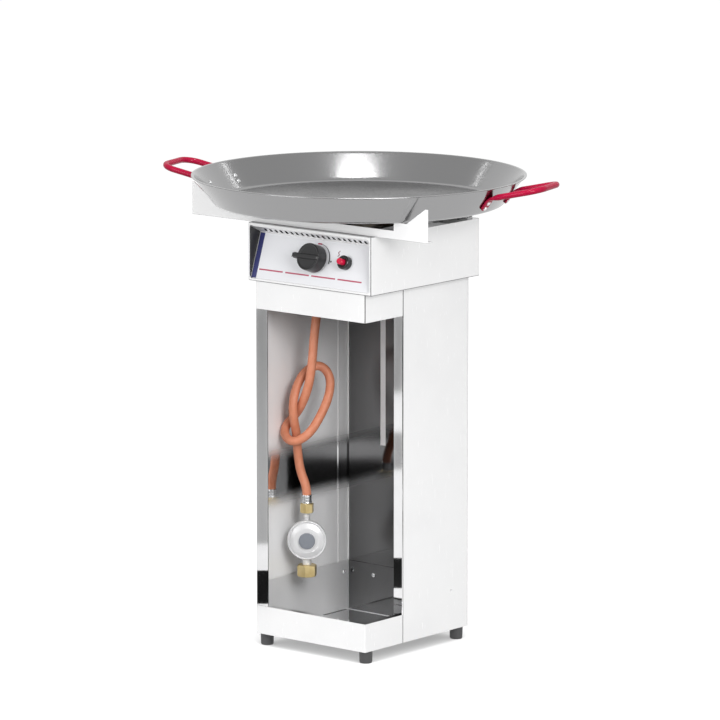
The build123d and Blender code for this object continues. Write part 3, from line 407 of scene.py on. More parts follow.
# Control panel, with its graphics in millimetres right of the film's middle and up the panel from it
panel_lean = math.atan2(28.0, 82.25)
panel_up = np.array((0.0, math.sin(panel_lean), math.cos(panel_lean)))
panel_out = np.array((0.0, -math.cos(panel_lean), math.sin(panel_lean)))
film_middle = np.array((12.0, -134.460, 707.617))
film_width = 276.6
knob_on_film = (2.5, 5.5)
igniter_offset = 68.0
stripe_width = 11.0
dial_radius = 28.5
rule_starts = (-124.0, -63.0, -2.4, 58.4)
rule_length = 55.0
rule_height = -24.8
mark_half = 1.2
dial_sweep = 1.75
dial_half = (0.25, 1.1)
tick_ends = (-57.0, -48.0)
spark_right, spark_above, spark_half = 48.0, 15.2, 5.2
spark_swing, spark_pitch = 3.0, 3.4


def panel_film():
    """Printed satin film: a dark blue stripe down the left edge, four red rules, a tapered dial arc with a
    red start, a dot, a tick and a small spark sign. Each mark is a soft-edged mask of distance."""
    finish = Finish("film", Coat_Weight=0.1, Coat_Roughness=0.15)
    across = (finish.x - film_middle[0] * MM) / MM
    up = (finish.y * panel_up[1] + finish.z * panel_up[2] - float(film_middle @ panel_up) * MM) / MM
    edge = 0.25
    stripe = across < stripe_width - film_width / 2
    rules = [across.within(start, start + rule_length, edge) for start in rule_starts]
    rules = sum(rules[1:], rules[0]) * up.within(rule_height - mark_half, rule_height + mark_half, edge)
    dial_right, dial_up = across - knob_on_film[0], up - knob_on_film[1]
    reach = (dial_right * dial_right + dial_up * dial_up) ** 0.5
    turn = finish.math("ARCTAN2", dial_right, dial_up)
    span = turn.within(0.0, dial_sweep, 0.02)
    half = dial_half[0] + dial_half[1] * turn.fade(0.0, dial_sweep)
    arc = span * abs(reach - dial_radius).fade(half + edge, half)
    on_dial = reach.within(dial_radius - mark_half, dial_radius + mark_half, edge)
    start_mark = turn.within(-0.16, 0.16, 0.02) * on_dial
    dot = ((dial_right - 32.5) ** 2.0 + (dial_up + 0.5) ** 2.0).fade(4.0, 2.6)
    tick = across.within(*tick_ends, edge) * dial_up.within(-0.5, 0.5, edge)
    spark_up = dial_up - spark_above
    zigzag = ((spark_up + 12.0) / spark_pitch).math("PINGPONG", 1.0)
    off_line = abs(across - spark_right - spark_swing * zigzag)
    spark = off_line.fade(1.3, 0.9) * spark_up.within(-spark_half, spark_half, edge)
    pale = finish.mix(finish.noise(60.0), (0.85, 0.855, 0.88), (0.81, 0.815, 0.845))
    black = arc.most(dot).most(tick).least(1.0)
    inked = finish.mix(black, pale, (0.05, 0.05, 0.06))
    inked = finish.mix(rules.most(start_mark).least(1.0), inked, (0.47, 0.07, 0.13))
    inked = finish.mix(spark, inked, (0.16, 0.015, 0.03))
    inked = finish.mix(stripe, inked, (0.035, 0.04, 0.16))
    return finish.dress(
        Base_Color=inked,
        Roughness=0.34 + 0.06 * finish.noise(0.9),
        Normal=finish.bump(finish.noise(0.7), 0.01, 0.3),
    )


finishes = {
    "sheet_steel": sheet_steel(),
    "pan_steel": pan_steel(),
    "burner_steel": burner_steel(),
    "zinc_steel": zinc_steel(),
    "handle_red": painted_red(),
    "brass": brass(),
    "regulator_metal": regulator_metal(),
    "hose_orange": hose_rubber(),
    "film": panel_film(),
}
# Two near colours, then roughness, and the size and depth of the skin's grain
moulded_looks = {
    "foot_rubber": ((0.085, 0.085, 0.087), (0.06, 0.06, 0.062), 0.6, 1.0, 0.05),
    "knob_black": ((0.021, 0.021, 0.022), (0.015, 0.015, 0.016), 0.3, 0.45, 0.02),
    "bezel_black": ((0.02, 0.02, 0.021), (0.014, 0.014, 0.015), 0.16, 0.9, 0.006),
    "button_red": ((0.70, 0.008, 0.06), (0.60, 0.006, 0.045), 0.2, 0.9, 0.006),
    "cap_grey": ((0.225, 0.24, 0.27), (0.185, 0.20, 0.23), 0.4, 0.6, 0.02),
    "seal_black": ((0.03, 0.03, 0.03), (0.02, 0.02, 0.02), 0.5, 0.8, 0.02),
    "ceramic_white": ((0.84, 0.82, 0.77), (0.76, 0.74, 0.69), 0.18, 1.2, 0.01),
    "lead_black": ((0.04, 0.04, 0.04), (0.03, 0.03, 0.03), 0.45, 0.7, 0.02),
}
finishes.update({look: moulded(look, *values) for look, values in moulded_looks.items()})

# ---------------- surfaces


def unit(vectors):
    """Vectors of length 1, the same way."""
    return vectors / np.linalg.norm(vectors, axis=-1, keepdims=True)


class Site:
    """A place on the object: an origin, a direction out of it, and the direction of its own x."""

    def __init__(self, origin, out, x=RIGHT):
        self.origin = np.array(origin, float)
        out = unit(np.array(out, float))
        x = unit(x - (x @ out) * out)
        self.axes = np.stack([x, np.cross(out, x), out])

    def put(self, local):
        return self.origin + local @ self.axes

    def shifted(self, x=0.0, y=0.0, z=0.0):
        return Site(self.put(np.array((x, y, z))), self.axes[2], self.axes[0])


def quads(rows, columns, ring=False, tube=True):
    """Corner numbers of the quads of a grid; a tube closes each row, and a ring closes each column."""
    row, column = np.meshgrid(np.arange(rows - 1 + ring), np.arange(columns - 1 + tube), indexing="ij")
    next_row, next_column = (row + 1) % rows, (column + 1) % columns
    corners = [
        row * columns + column,
        row * columns + next_column,
        next_row * columns + next_column,
        next_row * columns + column,
    ]
    return np.stack(corners, -1).reshape(-1, 4)


def piece(name, grids, body, slot, replaced=(), crease=38.0):
    """One object from grids of points: doubled points at poles merge, and faces are turned outwards."""
    sizes = np.cumsum([0] + [points.size // 3 for points, _ in grids])
    points = np.concatenate([points.reshape(-1, 3) for points, _ in grids]) * MM
    corners = np.concatenate([corners + start for (_, corners), start in zip(grids, sizes)])
    mesh = bpy.data.meshes.new(name)
    mesh.from_pydata(points.tolist(), [], corners.tolist())
    bpy.ops.object.select_all(action="DESELECT")
    made = bpy.data.objects.new(name, mesh)
    scene.collection.objects.link(made)
    made.select_set(True)
    bpy.context.view_layer.objects.active = made
    bpy.ops.object.mode_set(mode="EDIT")
    bpy.ops.mesh.select_all(action="SELECT")
    bpy.ops.mesh.remove_doubles(threshold=1e-6)
    bpy.ops.mesh.normals_make_consistent(inside=False)
    bpy.ops.object.mode_set(mode="OBJECT")
    mesh.shade_smooth()
    mesh.set_sharp_from_angle(angle=math.radians(crease))
    return dressed(made, body, slot, replaced)


def dressed(made, body, slot, replaced=()):
    """A finished piece with its material, the body that it moves with and the nodes that it stands for."""
    made.data.materials.append(finishes[slot])
    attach(made, body)
    if replaced:
        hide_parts(*replaced)
    return made


def rounded(points, radii, steps=6):
    """A line through points whose inner corners are arcs: from where the arc leaves the first run, it goes
    radius x sine along that run and radius x (1 - cosine) across it."""
    points = np.array(points, float)
    first, last = unit(points[1:-1] - points[:-2]), unit(points[2:] - points[1:-1])
    cosine = np.clip((first * last).sum(-1), -1, 1)
    turn = np.arccos(cosine)
    sideways = last - cosine[:, None] * first
    sideways /= np.maximum(np.linalg.norm(sideways, axis=-1, keepdims=True), 1e-12)
    radii = np.broadcast_to(np.array(radii, float), turn.shape)
    start = points[1:-1] - first * (radii * np.tan(turn / 2))[:, None]
    angle = turn[:, None] * np.linspace(0, 1, steps)
    along, across = np.sin(angle) * radii[:, None], (1 - np.cos(angle)) * radii[:, None]
    arcs = start[:, None] + along[..., None] * first[:, None] + across[..., None] * sideways[:, None]
    return np.concatenate([points[:1], arcs.reshape(-1, points.shape[1]), points[-1:]])


def lathe(site, profile, turns=96, ring=False, ripple=None):
    """A line of (radius, height) carried round the site's direction; ripple changes the radius by angle."""
    angle = np.linspace(0, FULL_TURN, turns, endpoint=False)
    radius = profile[:, :1] * np.ones(turns)
    height = profile[:, 1:] * np.ones(turns)
    if ripple is not None:
        radius = ripple(radius, height, angle)
    points = np.stack([radius * np.cos(angle), radius * np.sin(angle), height], -1)
    return site.put(points), quads(len(profile), turns, ring)


def hex_nut(site, width, low, high, bores, turns=96):
    """A hexagon whose outside is half the width over the cosine of the angle from its nearest flat, trimmed
    by a 30 degree cone at both ends; inside are bores, as (radius, height) pairs from the high end down."""
    half, tall, trim = width / 2, high - low, 0.16 * width / 2
    rises = np.concatenate([np.linspace(0, trim, 6), np.linspace(tall - trim, tall, 6)])
    outside = np.column_stack([np.full(len(rises), half), low + rises])
    profile = np.concatenate([outside, np.array(bores, float)])

    def flats(radius, height, angle):
        from_flat = (angle % (FULL_TURN / 6)) - FULL_TURN / 12
        ends = np.minimum(height - low, high - height)
        trimmed = np.minimum(half / np.cos(from_flat), half * 0.97 + ends * math.sqrt(3))
        rows = (np.arange(len(profile)) < len(outside))[:, None]
        return np.where(rows, trimmed, radius)

    return lathe(site, profile, turns, ring=True, ripple=flats)


def screw(site, grip, turns=48):
    """A pan-head screw: over the seat the head is a flattened dome, sunk by two crossed slots where one of
    the distances across the head is small; under it a plain shank."""
    head, rise, shank, point = 4.25, 2.6, 2.0, 0.6
    slot_reach, slot_half, slot_depth, slot_edge = 2.3, 0.5, 1.3, 0.4
    rings = np.linspace(0, 1, 17) ** 0.8
    profile = np.concatenate(
        [
            np.column_stack([rings * head, rise * (1 - rings**3.2) ** 0.5]),
            [(shank, 0), (shank, point - grip), (shank - point, -grip), (0, -grip)],
        ]
    )
    points, corners = lathe(Site((0, 0, 0), UP), profile, turns)
    x, y = np.abs(points[..., 0]), np.abs(points[..., 1])
    arm = np.minimum(
        np.maximum(x - slot_reach, y - slot_half), np.maximum(y - slot_reach, x - slot_half)
    )
    sunk = slot_depth * np.clip(0.5 - arm / slot_edge, 0, 1)
    points[..., 2] -= np.where(points[..., 2] > 0.5, sunk, 0)
    return site.put(points), corners


def carried(path, half_width, half_thickness, power, face, around_count=32):
    """A superellipse carried along a path. Its thickness lies along the given face direction, made square to
    the path, and its half sizes and power change from station to station."""
    along = unit(np.gradient(path, axis=0))
    thick = unit(face - (along @ face)[:, None] * along)
    wide = np.cross(along, thick)
    angle = np.linspace(0, FULL_TURN, around_count, endpoint=False)
    shape = 2 / power[:, None]
    across = half_width[:, None] * np.sign(np.cos(angle)) * np.abs(np.cos(angle)) ** shape
    through = half_thickness[:, None] * np.sign(np.sin(angle)) * np.abs(np.sin(angle)) ** shape
    points = path[:, None] + across[..., None] * wide[:, None] + through[..., None] * thick[:, None]
    return points, quads(len(path), around_count)


def run_along(path):
    """How far along a line each of its points lies."""
    steps = np.linalg.norm(np.diff(path, axis=0), axis=1)
    return np.concatenate([[0], np.cumsum(steps)])


def respaced(path, stations):
    """The same line at chosen shares of its length."""
    run = run_along(path)
    return np.stack([np.interp(stations * run[-1], run, path[:, axis]) for axis in range(3)], -1)


def ease(values, start, end):
    """0 at start and 1 at end, with a slope of nothing at both."""
    share = np.clip((values - start) / (end - start), 0, 1)
    return share * share * (3 - 2 * share)


def quarter(distance, radius):
    """How far a quarter circle has risen, as a share of its radius, at a distance from its foot."""
    return np.sqrt(1 - (1 - np.clip(distance / radius, 0, 1)) ** 2)


def crowded(count, crowding):
    """Shares from 0 to 1 that lie closer together near both ends, by a sine."""
    share = np.linspace(0, 1, count)
    return share - crowding * np.sin(FULL_TURN * share) / FULL_TURN


def around(angle):
    """The directions out of a circle and along it, at an angle about the upright axis."""
    outward = np.array((math.cos(angle), math.sin(angle), 0))
    return outward, np.array((-outward[1], outward[0], 0))


# ---------------- pan, handles and rivets
pan_axis = Site((0, 0, 0), UP)
pan_sheet, pan_base, pan_rim = 2.0, 799.0, 300.0
base_radius, wall_run, wall_rise = 258.0, 38.0, 50.0
base_bend, lip_bend, bend_steps = 12.0, 2.0, 10
wall_angle = math.atan2(wall_rise, wall_run)


def pan_shell():
    """The pan's middle line, offset by half the sheet to both sides and closed round the rim by a half
    circle."""
    corners = [
        (0, pan_base),
        (base_radius, pan_base),
        (base_radius + wall_run, pan_base + wall_rise),
        (pan_rim, pan_base + wall_rise),
    ]
    painted_bend_shade = rounded(corners, [base_bend, lip_bend], bend_steps)
    foot, head = painted_bend_shade[1 : bend_steps + 1], painted_bend_shade[bend_steps + 1 : -1]
    from_middle = np.linspace(0, foot[0, 0], 30)[:-1]
    flat = np.column_stack([from_middle, np.full(len(from_middle), pan_base)])
    wall = foot[-1] + np.linspace(0, 1, 16)[1:-1, None] * (head[0] - foot[-1])
    half_sheet = pan_sheet / 2
    middle = np.concatenate([flat, foot, wall, head, [(pan_rim - half_sheet, pan_base + wall_rise)]])
    along = unit(np.gradient(middle, axis=0))
    across = np.column_stack([-along[:, 1], along[:, 0]]) * half_sheet
    across[0] = (0, half_sheet)
    bead = np.linspace(math.pi / 2, -math.pi / 2, 9)[1:-1]
    rim = middle[-1] + np.column_stack([np.cos(bead), np.sin(bead)]) * half_sheet
    return lathe(pan_axis, np.concatenate([middle + across, rim, (middle - across)[::-1]]), 288)


def foot_sites(angle):
    """Where a handle's two feet lie on the pan's outer wall, facing out, with their own y up the slope."""
    slant, spread = 32.0, 100.0
    radius, height = base_radius + slant * math.cos(wall_angle), pan_base + slant * math.sin(wall_angle)
    half_turn = math.asin(spread / 2 / radius)
    sites = []
    for side in (-1, 1):
        outward, tangent = around(math.radians(angle) + side * half_turn)
        face = outward * math.sin(wall_angle) - UP * math.cos(wall_angle)
        sites.append(Site(outward * radius + UP * height + face * pan_sheet / 2, face, tangent))
    return sites


def handle(angle):
    """A bent rod, 11 mm thick, whose two ends are pressed flat: along the first 24 mm of each end the section
    is a flat rounded bar, rounded off in plan at its tip, and it eases to a circle over the next 20 mm."""
    rod_half, flat_half, flat_thick = 5.5, 10.0, 2.0
    flat_run, round_run, tip_corner, edge_corner = 24.0, 44.0, 9.0, 1.2
    reach, grip_height, grip_half, grip_bend, knee_bend = 371.0, 849.5, 52.0, 28.0, 16.0
    flat_power, round_power = 4.5, 2.0
    feet = foot_sites(angle)
    outward, tangent = around(math.radians(angle))
    grip = outward * reach + UP * grip_height
    tip, knee = np.array((0, -19.0, 2.1)), np.array((0, 9.0, 2.1))
    corners = [feet[0].put(tip), feet[0].put(knee), grip - grip_half * tangent, grip + grip_half * tangent]
    corners += [feet[1].put(knee), feet[1].put(tip)]
    path = respaced(rounded(corners, [knee_bend, grip_bend, grip_bend, knee_bend], 24), crowded(221, 0.95))
    run = run_along(path)
    from_end = np.minimum(run, run[-1] - run)
    round_bar = ease(from_end, flat_run, round_run)
    half_width = (flat_half + (rod_half - flat_half) * round_bar) * quarter(from_end, tip_corner)
    half_thickness = (flat_thick + (rod_half - flat_thick) * round_bar) * quarter(from_end, edge_corner)
    power = flat_power + (round_power - flat_power) * round_bar
    return carried(path, half_width, half_thickness, power, -UP)


handle_angles = {"right_handle": 14.5, "left_handle": 194.5}
piece("pan_spun", [pan_shell()], "pan", "pan_steel", ["pan"], crease=60.0)
for handle_name, angle in handle_angles.items():
    piece(handle_name + "_bent", [handle(angle)], "pan", "handle_red", [handle_name], crease=70.0)


def rivet(site):
    """A rivet through wall and foot: at both ends a low dome, an ellipse on a short upright edge."""
    head, rise, edge, shank, above_foot, below_wall = 4.0, 1.6, 0.4, 2.5, 4.1, 2.05
    curve = np.linspace(0, math.pi / 2, 10)
    dome = np.column_stack([head * np.sin(curve), rise * np.cos(curve) + edge])
    outer = np.concatenate([dome + (0, above_foot), [(head, above_foot), (shank, above_foot)]])
    inner = (dome * (1, -1) - (0, below_wall))[::-1]
    inner = np.concatenate([[(shank, -below_wall), (head, -below_wall)], inner])
    return lathe(site, np.concatenate([outer, inner]), 36)


rivet_rises = (-13.0, -1.0)
rivet_feet = [foot for angle in handle_angles.values() for foot in foot_sites(angle)]
rivets = [rivet(foot.shifted(y=rise)) for foot in rivet_feet for rise in rivet_rises]
piece("pan_rivets_domed", rivets, "pan", "zinc_steel", ["pan_rivets"])

# ---------------- controls
knob_site = Site(film_middle + knob_on_film[0] * RIGHT + knob_on_film[1] * panel_up, panel_out)
igniter_site = knob_site.shifted(x=igniter_offset)


def knob_disc():
    """A deep disc that narrows a little to a shallow dished face with a rounded rim, hollow behind."""
    hollow = [(0, 9), (15, 9), (15, 4.5)]
    skirt = [(25, 4.5), (25, 7.5), (24.4, 27.5)]
    face = [(22.2, 27.5), (20.6, 26.3), (0, 26.0)]
    return lathe(knob_site, rounded(hollow + skirt + face, [0.3, 0.3, 0.6, 2.0, 1.0, 0.8, 1.5], 8), 144)


def knob_bar():
    """A bar from the pointer's tip, at nine o'clock, across the disc to its other edge, with sides that lean
    in towards its top: near either end the half width and the height shrink by quarter circles. Inside the
    disc's wall its underside steps up, so that the hollow behind the disc stays clear."""
    tip, tail, top, foot = -35.5, 23.6, 29.5, 4.6
    wall_from, wall_to, above_hollow = -21.0, -17.0, 10.0
    rise, half, top_half, lean = top - foot, 5.5, 3.4, 5.0
    plan_corner, top_corner = 3.0, 2.2
    place = tip + (tail - tip) * crowded(81, 0.9)
    from_end = np.minimum(place - tip, tail - place)
    corners = [(0.0, 0.0), (half, 0.0), (half, rise - lean), (top_half, rise), (0.0, rise)]
    side = rounded(corners, [0.6, 3.0, 1.0], 8)
    loop = np.concatenate([side, (side * (-1, 1))[::-1][1:-1]])
    width = 1 - plan_corner * (1 - quarter(from_end, plan_corner)) / half
    height = 1 - top_corner * (1 - quarter(from_end, top_corner)) / rise
    underside = np.interp(place, (wall_from, wall_to), (foot, above_hollow))
    points = np.stack(
        [
            place[:, None] * np.ones(len(loop)),
            width[:, None] * loop[:, 0],
            np.maximum(foot + height[:, None] * loop[:, 1], underside[:, None]),
        ],
        -1,
    )
    middle = points.mean(axis=1, keepdims=True) * np.ones((1, len(loop), 1))
    points = np.concatenate([middle[:1], points, middle[-1:]])
    return knob_site.put(points), quads(len(points), len(loop))


piece("control_knob_moulded", [knob_disc(), knob_bar()], "knob", "knob_black", ["control_knob"])

bezel_neck = [(5.9, -12), (8, -12), (8, 0.5)]
bezel_rim = [(12.5, 0.5), (12.5, 10.8), (11.3, 12.5), (9.4, 12.5), (8.6, 11.6), (6.6, 11.3), (5.9, 10.9)]
bezel_line = rounded(bezel_neck + bezel_rim, [0.2, 0, 0.2, 0.6, 1.4, 0.5, 0.4, 0.4], 6)
piece(
    "igniter_bezel_ring", [lathe(igniter_site, bezel_line, ring=True)],
    "cabinet", "bezel_black", ["igniter_bezel"],
)
button_corners = [(0, -8), (5.8, -8), (5.8, 19.6), (5.5, 22.5), (4.0, 22.5), (3.0, 22.0), (0, 21.9)]
button_line = rounded(button_corners, [0.4, 0.5, 1.2, 0.4, 0.8], 6)
piece(
    "igniter_button_cap", [lathe(igniter_site, button_line, 72)],
    "igniter_button", "button_red", ["igniter_button"],
)


def coil(site, start, end, diameter, wire, turns):
    """A compression spring: a round wire carried along a helix between two heights, its end turns flat."""
    flat_turns, steps_per_turn = 0.9, 28
    share = np.linspace(0, 1, int(turns * steps_per_turn))
    angle = FULL_TURN * turns * share
    radius = diameter / 2 - wire / 2
    pitch = np.clip((share * turns - flat_turns) / (turns - 2 * flat_turns), 0, 1)
    height = start + wire / 2 + (end - start - wire) * pitch
    local = np.stack([radius * np.cos(angle), radius * np.sin(angle), height], -1)
    sizes = np.full(len(share), wire / 2)
    sizes[[0, -1]] = 0.0
    points, corners = carried(local, sizes, sizes, np.full(len(share), 2.0), UP, around_count=10)
    return site.put(points), corners


# Each spring's place, its two ends, diameter, wire and turns, then the joint that shortens it and by how much
springs = {
    "stem_spring": (knob_site, -32.0, -15.0, 13.0, 1.5, 7, "knob_push", 14.0 / 17.0),
    "igniter_spring": (igniter_site, -28.0, -8.0, 9.0, 1.0, 9, "igniter_push", 14.0 / 20.0),
}
for spring_name, (site, start, end, diameter, wire, turns, joint, keep) in springs.items():
    wound = coil(site, start, end, diameter, wire, turns)
    spring = piece(spring_name + "_coil", [wound], "cabinet", "zinc_steel", [spring_name])
    anchor = (site.put(np.array((0, 0, start))) * MM).tolist()
    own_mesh(spring)

# ---------------- screws and feet
foot_sides = {"left": -103.5, "right": 127.5}
foot_ends = {"front": -133.5, "rear": 121.5}
# Each screw's seat, the way that its head faces and how far it reaches in
screws = {
    "foot_screws": [((x, y, 23.5), UP, 12.5) for x in foot_sides.values() for y in foot_ends.values()],
    "stand_screws": [
        ((-111.5, 90.5, 95.0), RIGHT, 4.5),
        ((135.5, 90.5, 95.0), -RIGHT, 4.5),
        ((-51.0, 102.5, 95.0), -BACK, 3.0),
        ((75.0, 102.5, 95.0), -BACK, 3.0),
        ((129.5, -47.0, 47.5), -BACK, 4.0),
        ((129.5, -47.0, 639.0), -BACK, 4.0),
        ((-106.0, -90.5, 662.5), -UP, 4.0),
        ((-106.0, 78.5, 662.5), -UP, 4.0),
        ((130.0, 78.5, 662.5), -UP, 4.0),
    ],
    "bracket_screws": [((x, y, 667.0), UP, 3.0) for x in (-18.0, 42.0) for y in (-29.82, 110.18)],
    "support_screws": [((x, y, 770.0), UP, 4.5) for x in (-98.0, 122.0) for y in (-133.0, 133.0)],
}
for screw_name, seats in screws.items():
    sites = [Site(seat, out, BACK if abs(out[0]) > 0.5 else RIGHT) for seat, out, _ in seats]
    driven = [screw(site, grip) for site, (_, _, grip) in zip(sites, seats)]
    piece(screw_name + "_cross", driven, "cabinet", "zinc_steel", [screw_name])

foot_line = rounded(
    [(0, 1.2), (7.5, 1.2), (8.5, 0), (10.4, 0), (11.5, 2.0), (12.0, 20.6), (12.0, 22), (0, 22)],
    [0.5, 0.5, 0.8, 1.2, 0.5, 0.3], 6,
)
for end, y in foot_ends.items():
    for side, x in foot_sides.items():
        foot_name = f"{end}_{side}_foot"
        turned = lathe(Site((x, y, 0), UP), foot_line)
        piece(foot_name + "_moulded", [turned], "cabinet", "foot_rubber", [foot_name])

# ---------------- hose fittings and regulator
top_site = Site((hose_start[0], hose_start[1], 0), UP)
end_site = Site((hose_end[0], hose_end[1], 0), UP)


def ferrule(site, low, high):
    """A pressed sleeve: rounded ends, eight flats pressed along its middle by a cosine of the angle, and a
    shallow ring round the middle."""
    sleeve, end_round, flat_depth, ring_depth, ring_half = 9.0, 0.8, 0.55, 0.25, 0.5
    press_from, press_full = 2.0, 3.4
    outside = rounded([(0, low), (sleeve, low), (sleeve, high), (0, high)], [end_round, end_round], 6)
    heights = np.linspace(low + 1.0, high - 1.0, 25)
    middle = np.column_stack([np.full(len(heights), sleeve), heights])
    profile = np.concatenate([outside[:7], middle, outside[7:]])

    def pressed(radius, height, angle):
        from_end = np.minimum(height - low, high - height)
        inner = ease(from_end, press_from, press_full)
        ring = np.exp(-(((height - (low + high) / 2) / ring_half) ** 2))
        flats = flat_depth * np.abs(np.cos(4 * angle)) ** 0.7 * inner
        return radius - np.where(radius > sleeve - 0.5, flats + ring_depth * ring * inner, 0)

    return lathe(site, profile, 128, ripple=pressed)


def pressed_ferrule(node, site, low, high):
    """A ferrule between two heights, in place of its node."""
    return piece(node + "_pressed", [ferrule(site, low, high)], "cabinet", "zinc_steel", [node])


def brass_nut(node, body, *shape):
    """A hexagon nut on its body, in place of its node."""
    return piece(node + "_hex", [hex_nut(*shape)], body, "brass", [node], crease=20.0)


hose_nut_width = 22.0
top_bores = [(6.55, 654.0), (6.55, 637.0)]
end_bores = [(5.05, 251.0), (5.05, 234.0)]
inlet_bores = [(7.8, 138.3), (7.8, 134.3), (11.5, 134.3), (11.5, 128.2), (10.9, 128.2), (10.9, 117.3)]
top_ferrule = pressed_ferrule("hose_top_ferrule", top_site, 621.0, 637.0)
end_ferrule = pressed_ferrule("hose_ferrule", end_site, 251.0, 267.0)
brass_nut("hose_top_nut", "cabinet", top_site, hose_nut_width, 637.0, 654.0, top_bores)
end_nut = brass_nut("hose_nut", "cabinet", end_site, hose_nut_width, 234.0, 251.0, end_bores)
brass_nut("regulator_inlet_nut", "inlet_nut", end_site, 32.0, 117.3, 138.3, inlet_bores)

regulator_site = Site((hose_end[0], hose_end[1], 185.0), -hose_away, hose_across)
case_line = rounded(
    [(0, -9), (20, -9), (22, -7.6), (30, -7.6), (35.2, -3.5), (35.2, 5.2), (35.5, 5.8), (35.5, 9), (0, 9)],
    [1.0, 1.0, 3.0, 4.0, 0.2, 0.2, 0.3], 6,
)
cover_line = rounded(
    [(0, 9), (35.5, 9), (35.5, 12.9), (33.6, 12.9), (33.0, 10.9)]
    + [(31.6, 10.9), (31.0, 12.7), (22, 15.9), (0, 16)],
    [0.3, 1.5, 0.5, 0.3, 0.3, 0.8, 14.0], 7,
)
cap_line = rounded(
    [(0, 16), (14.5, 16), (14.5, 20.6), (12.6, 21), (12.2, 20.5), (11.6, 20.5), (11.2, 20.8), (0, 20.9)],
    [0.2, 1.2, 0.4, 0.2, 0.2, 0.2], 6,
)
neck_line = rounded(
    [(0, 0), (5, 0), (5, 40), (5.9, 41), (5.9, 44), (5, 45), (5, 57), (0, 57)],
    [0.1, 0.4, 0.6, 0.6, 0.4, 0.1], 4,
)
boss_line = rounded(
    [(0, 0), (8.5, 0), (8.5, -36), (8.2, -37), (8.2, -46.3), (0, -46.3)],
    [0.1, 0.5, 0.5, 0.1], 4,
)
drop_site = Site(regulator_site.origin, UP)
case = piece(
    "regulator_case",
    [lathe(regulator_site, case_line, 120), lathe(drop_site, neck_line, 48), lathe(drop_site, boss_line, 64)],
    "cabinet", "regulator_metal", ["regulator_body"],
)
cover = piece(
    "regulator_cover_spun", [lathe(regulator_site, cover_line, 144)],
    "cabinet", "regulator_metal", ["regulator_cover"],
)
cap = piece(
    "regulator_cap_moulded", [lathe(regulator_site, cap_line)],
    "cabinet", "cap_grey", ["regulator_cap"],
)

dressed(hose, "cabinet", "hose_orange", ["gas_hose"])

# ---------------- finishes of the carried-over nodes
node_finishes = {
    "sheet_steel": (
        "base_tray left_side_panel right_side_panel back_panel lower_front_band upper_front_band "
        "housing_shell housing_bottom deck_plate control_panel front_pan_support rear_pan_support"
    ),
    "burner_steel": "left_burner right_burner front_burner_bracket rear_burner_bracket",
    "zinc_steel": "valve_nut stem_collar valve_stem electrode_rod igniter_nut",
    "bezel_black": "igniter_body",
    "film": "panel_film",
    "brass": "gas_valve manifold injectors gas_inlet inlet_lock_nut regulator_spigot supply_pipe",
    "seal_black": "inlet_seal",
    "ceramic_white": "electrode_insulator",
    "lead_black": "igniter_lead",
}
for finish_name, names in node_finishes.items():
    for node_name in names.split():
        for material_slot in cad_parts[node_name].material_slots:
            material_slot.material = finishes[finish_name]

# ---------------- stage, light


def facing(azimuth):
    """The directions straight out and to the right, on the floor, at an azimuth from the front."""
    turn = math.radians(azimuth)
    right = np.array((math.cos(turn), math.sin(turn), 0.0))
    return np.array((right[1], -right[0], 0.0)), right


toward_camera, camera_right = facing(39.85)


def stage_sheet(name, points):
    """Rows and columns of stage points, in metres, as one sheet."""
    mesh = bpy.data.meshes.new(name)
    mesh.from_pydata(points.reshape(-1, 3).tolist(), [], quads(*points.shape[:2], tube=False).tolist())
    made = bpy.data.objects.new(name, mesh)
    scene.collection.objects.link(made)
    return made


floor_half = 30.0
floor = stage_sheet("floor", floor_half * np.array([[(-1, -1, 0), (-1, 1, 0)], [(1, -1, 0), (1, 1, 0)]]))
floor_finish = Finish("floor_white", Roughness=1.0, Specular_IOR_Level=0.0, Emission_Strength=1.0)
# How open the floor is to the air above it, for the soft shade close under the object
contact = floor_finish.node("ShaderNodeAmbientOcclusion", {"samples": 16}, {"Distance": 0.2}, out="AO")


def by_ray(plain, mirrored, direct):
    """Three tones of the floor: as a lit matt surface sees it, as a mirror does, and as the camera does,
    where it is half as bright in the closest shade."""
    reflected = floor_finish.mix(floor_finish.ray("Glossy", "Transmission"), (plain,) * 3, (mirrored,) * 3)
    shaded = floor_finish.mix(contact, (0.5 * direct,) * 3, (direct,) * 3)
    return floor_finish.mix(floor_finish.ray("Camera"), reflected, shaded)


floor.data.materials.append(
    floor_finish.dress(
        Base_Color=by_ray(plain=0.34, mirrored=0.15, direct=0.80),
        Emission_Color=by_ray(plain=0.0, mirrored=0.90, direct=0.53),
    )
)

scene.world = bpy.data.worlds.new("studio")
scene.world.use_nodes = True
sky = Tree(scene.world.node_tree)
sky_tone = sky.mix(sky.ray("Camera", "Glossy", "Transmission"), (0.6, 0.6, 0.6), (1.0, 1.0, 1.0))
sky.feed(sky.tree.nodes["Background"].inputs["Color"], sky_tone)


def lamp(name, azimuth, elevation, distance, width, height, power):
    """A soft box at an azimuth from the camera's side, aimed at the object's middle, in metres and watts."""
    turn, lift = math.radians(azimuth), math.radians(elevation)
    flat = toward_camera * math.cos(turn) + camera_right * math.sin(turn)
    aim = np.array((0.0, 0.0, 0.55))
    out = flat * math.cos(lift) + UP * math.sin(lift)
    data = bpy.data.lights.new(name, "AREA")
    data.shape = "RECTANGLE"
    data.size, data.size_y, data.energy = width, height, power
    made = bpy.data.objects.new(name, data)
    made.location = aim + out * distance
    made.rotation_euler = Vector(out).to_track_quat("Z", "Y").to_euler()
    scene.collection.objects.link(made)


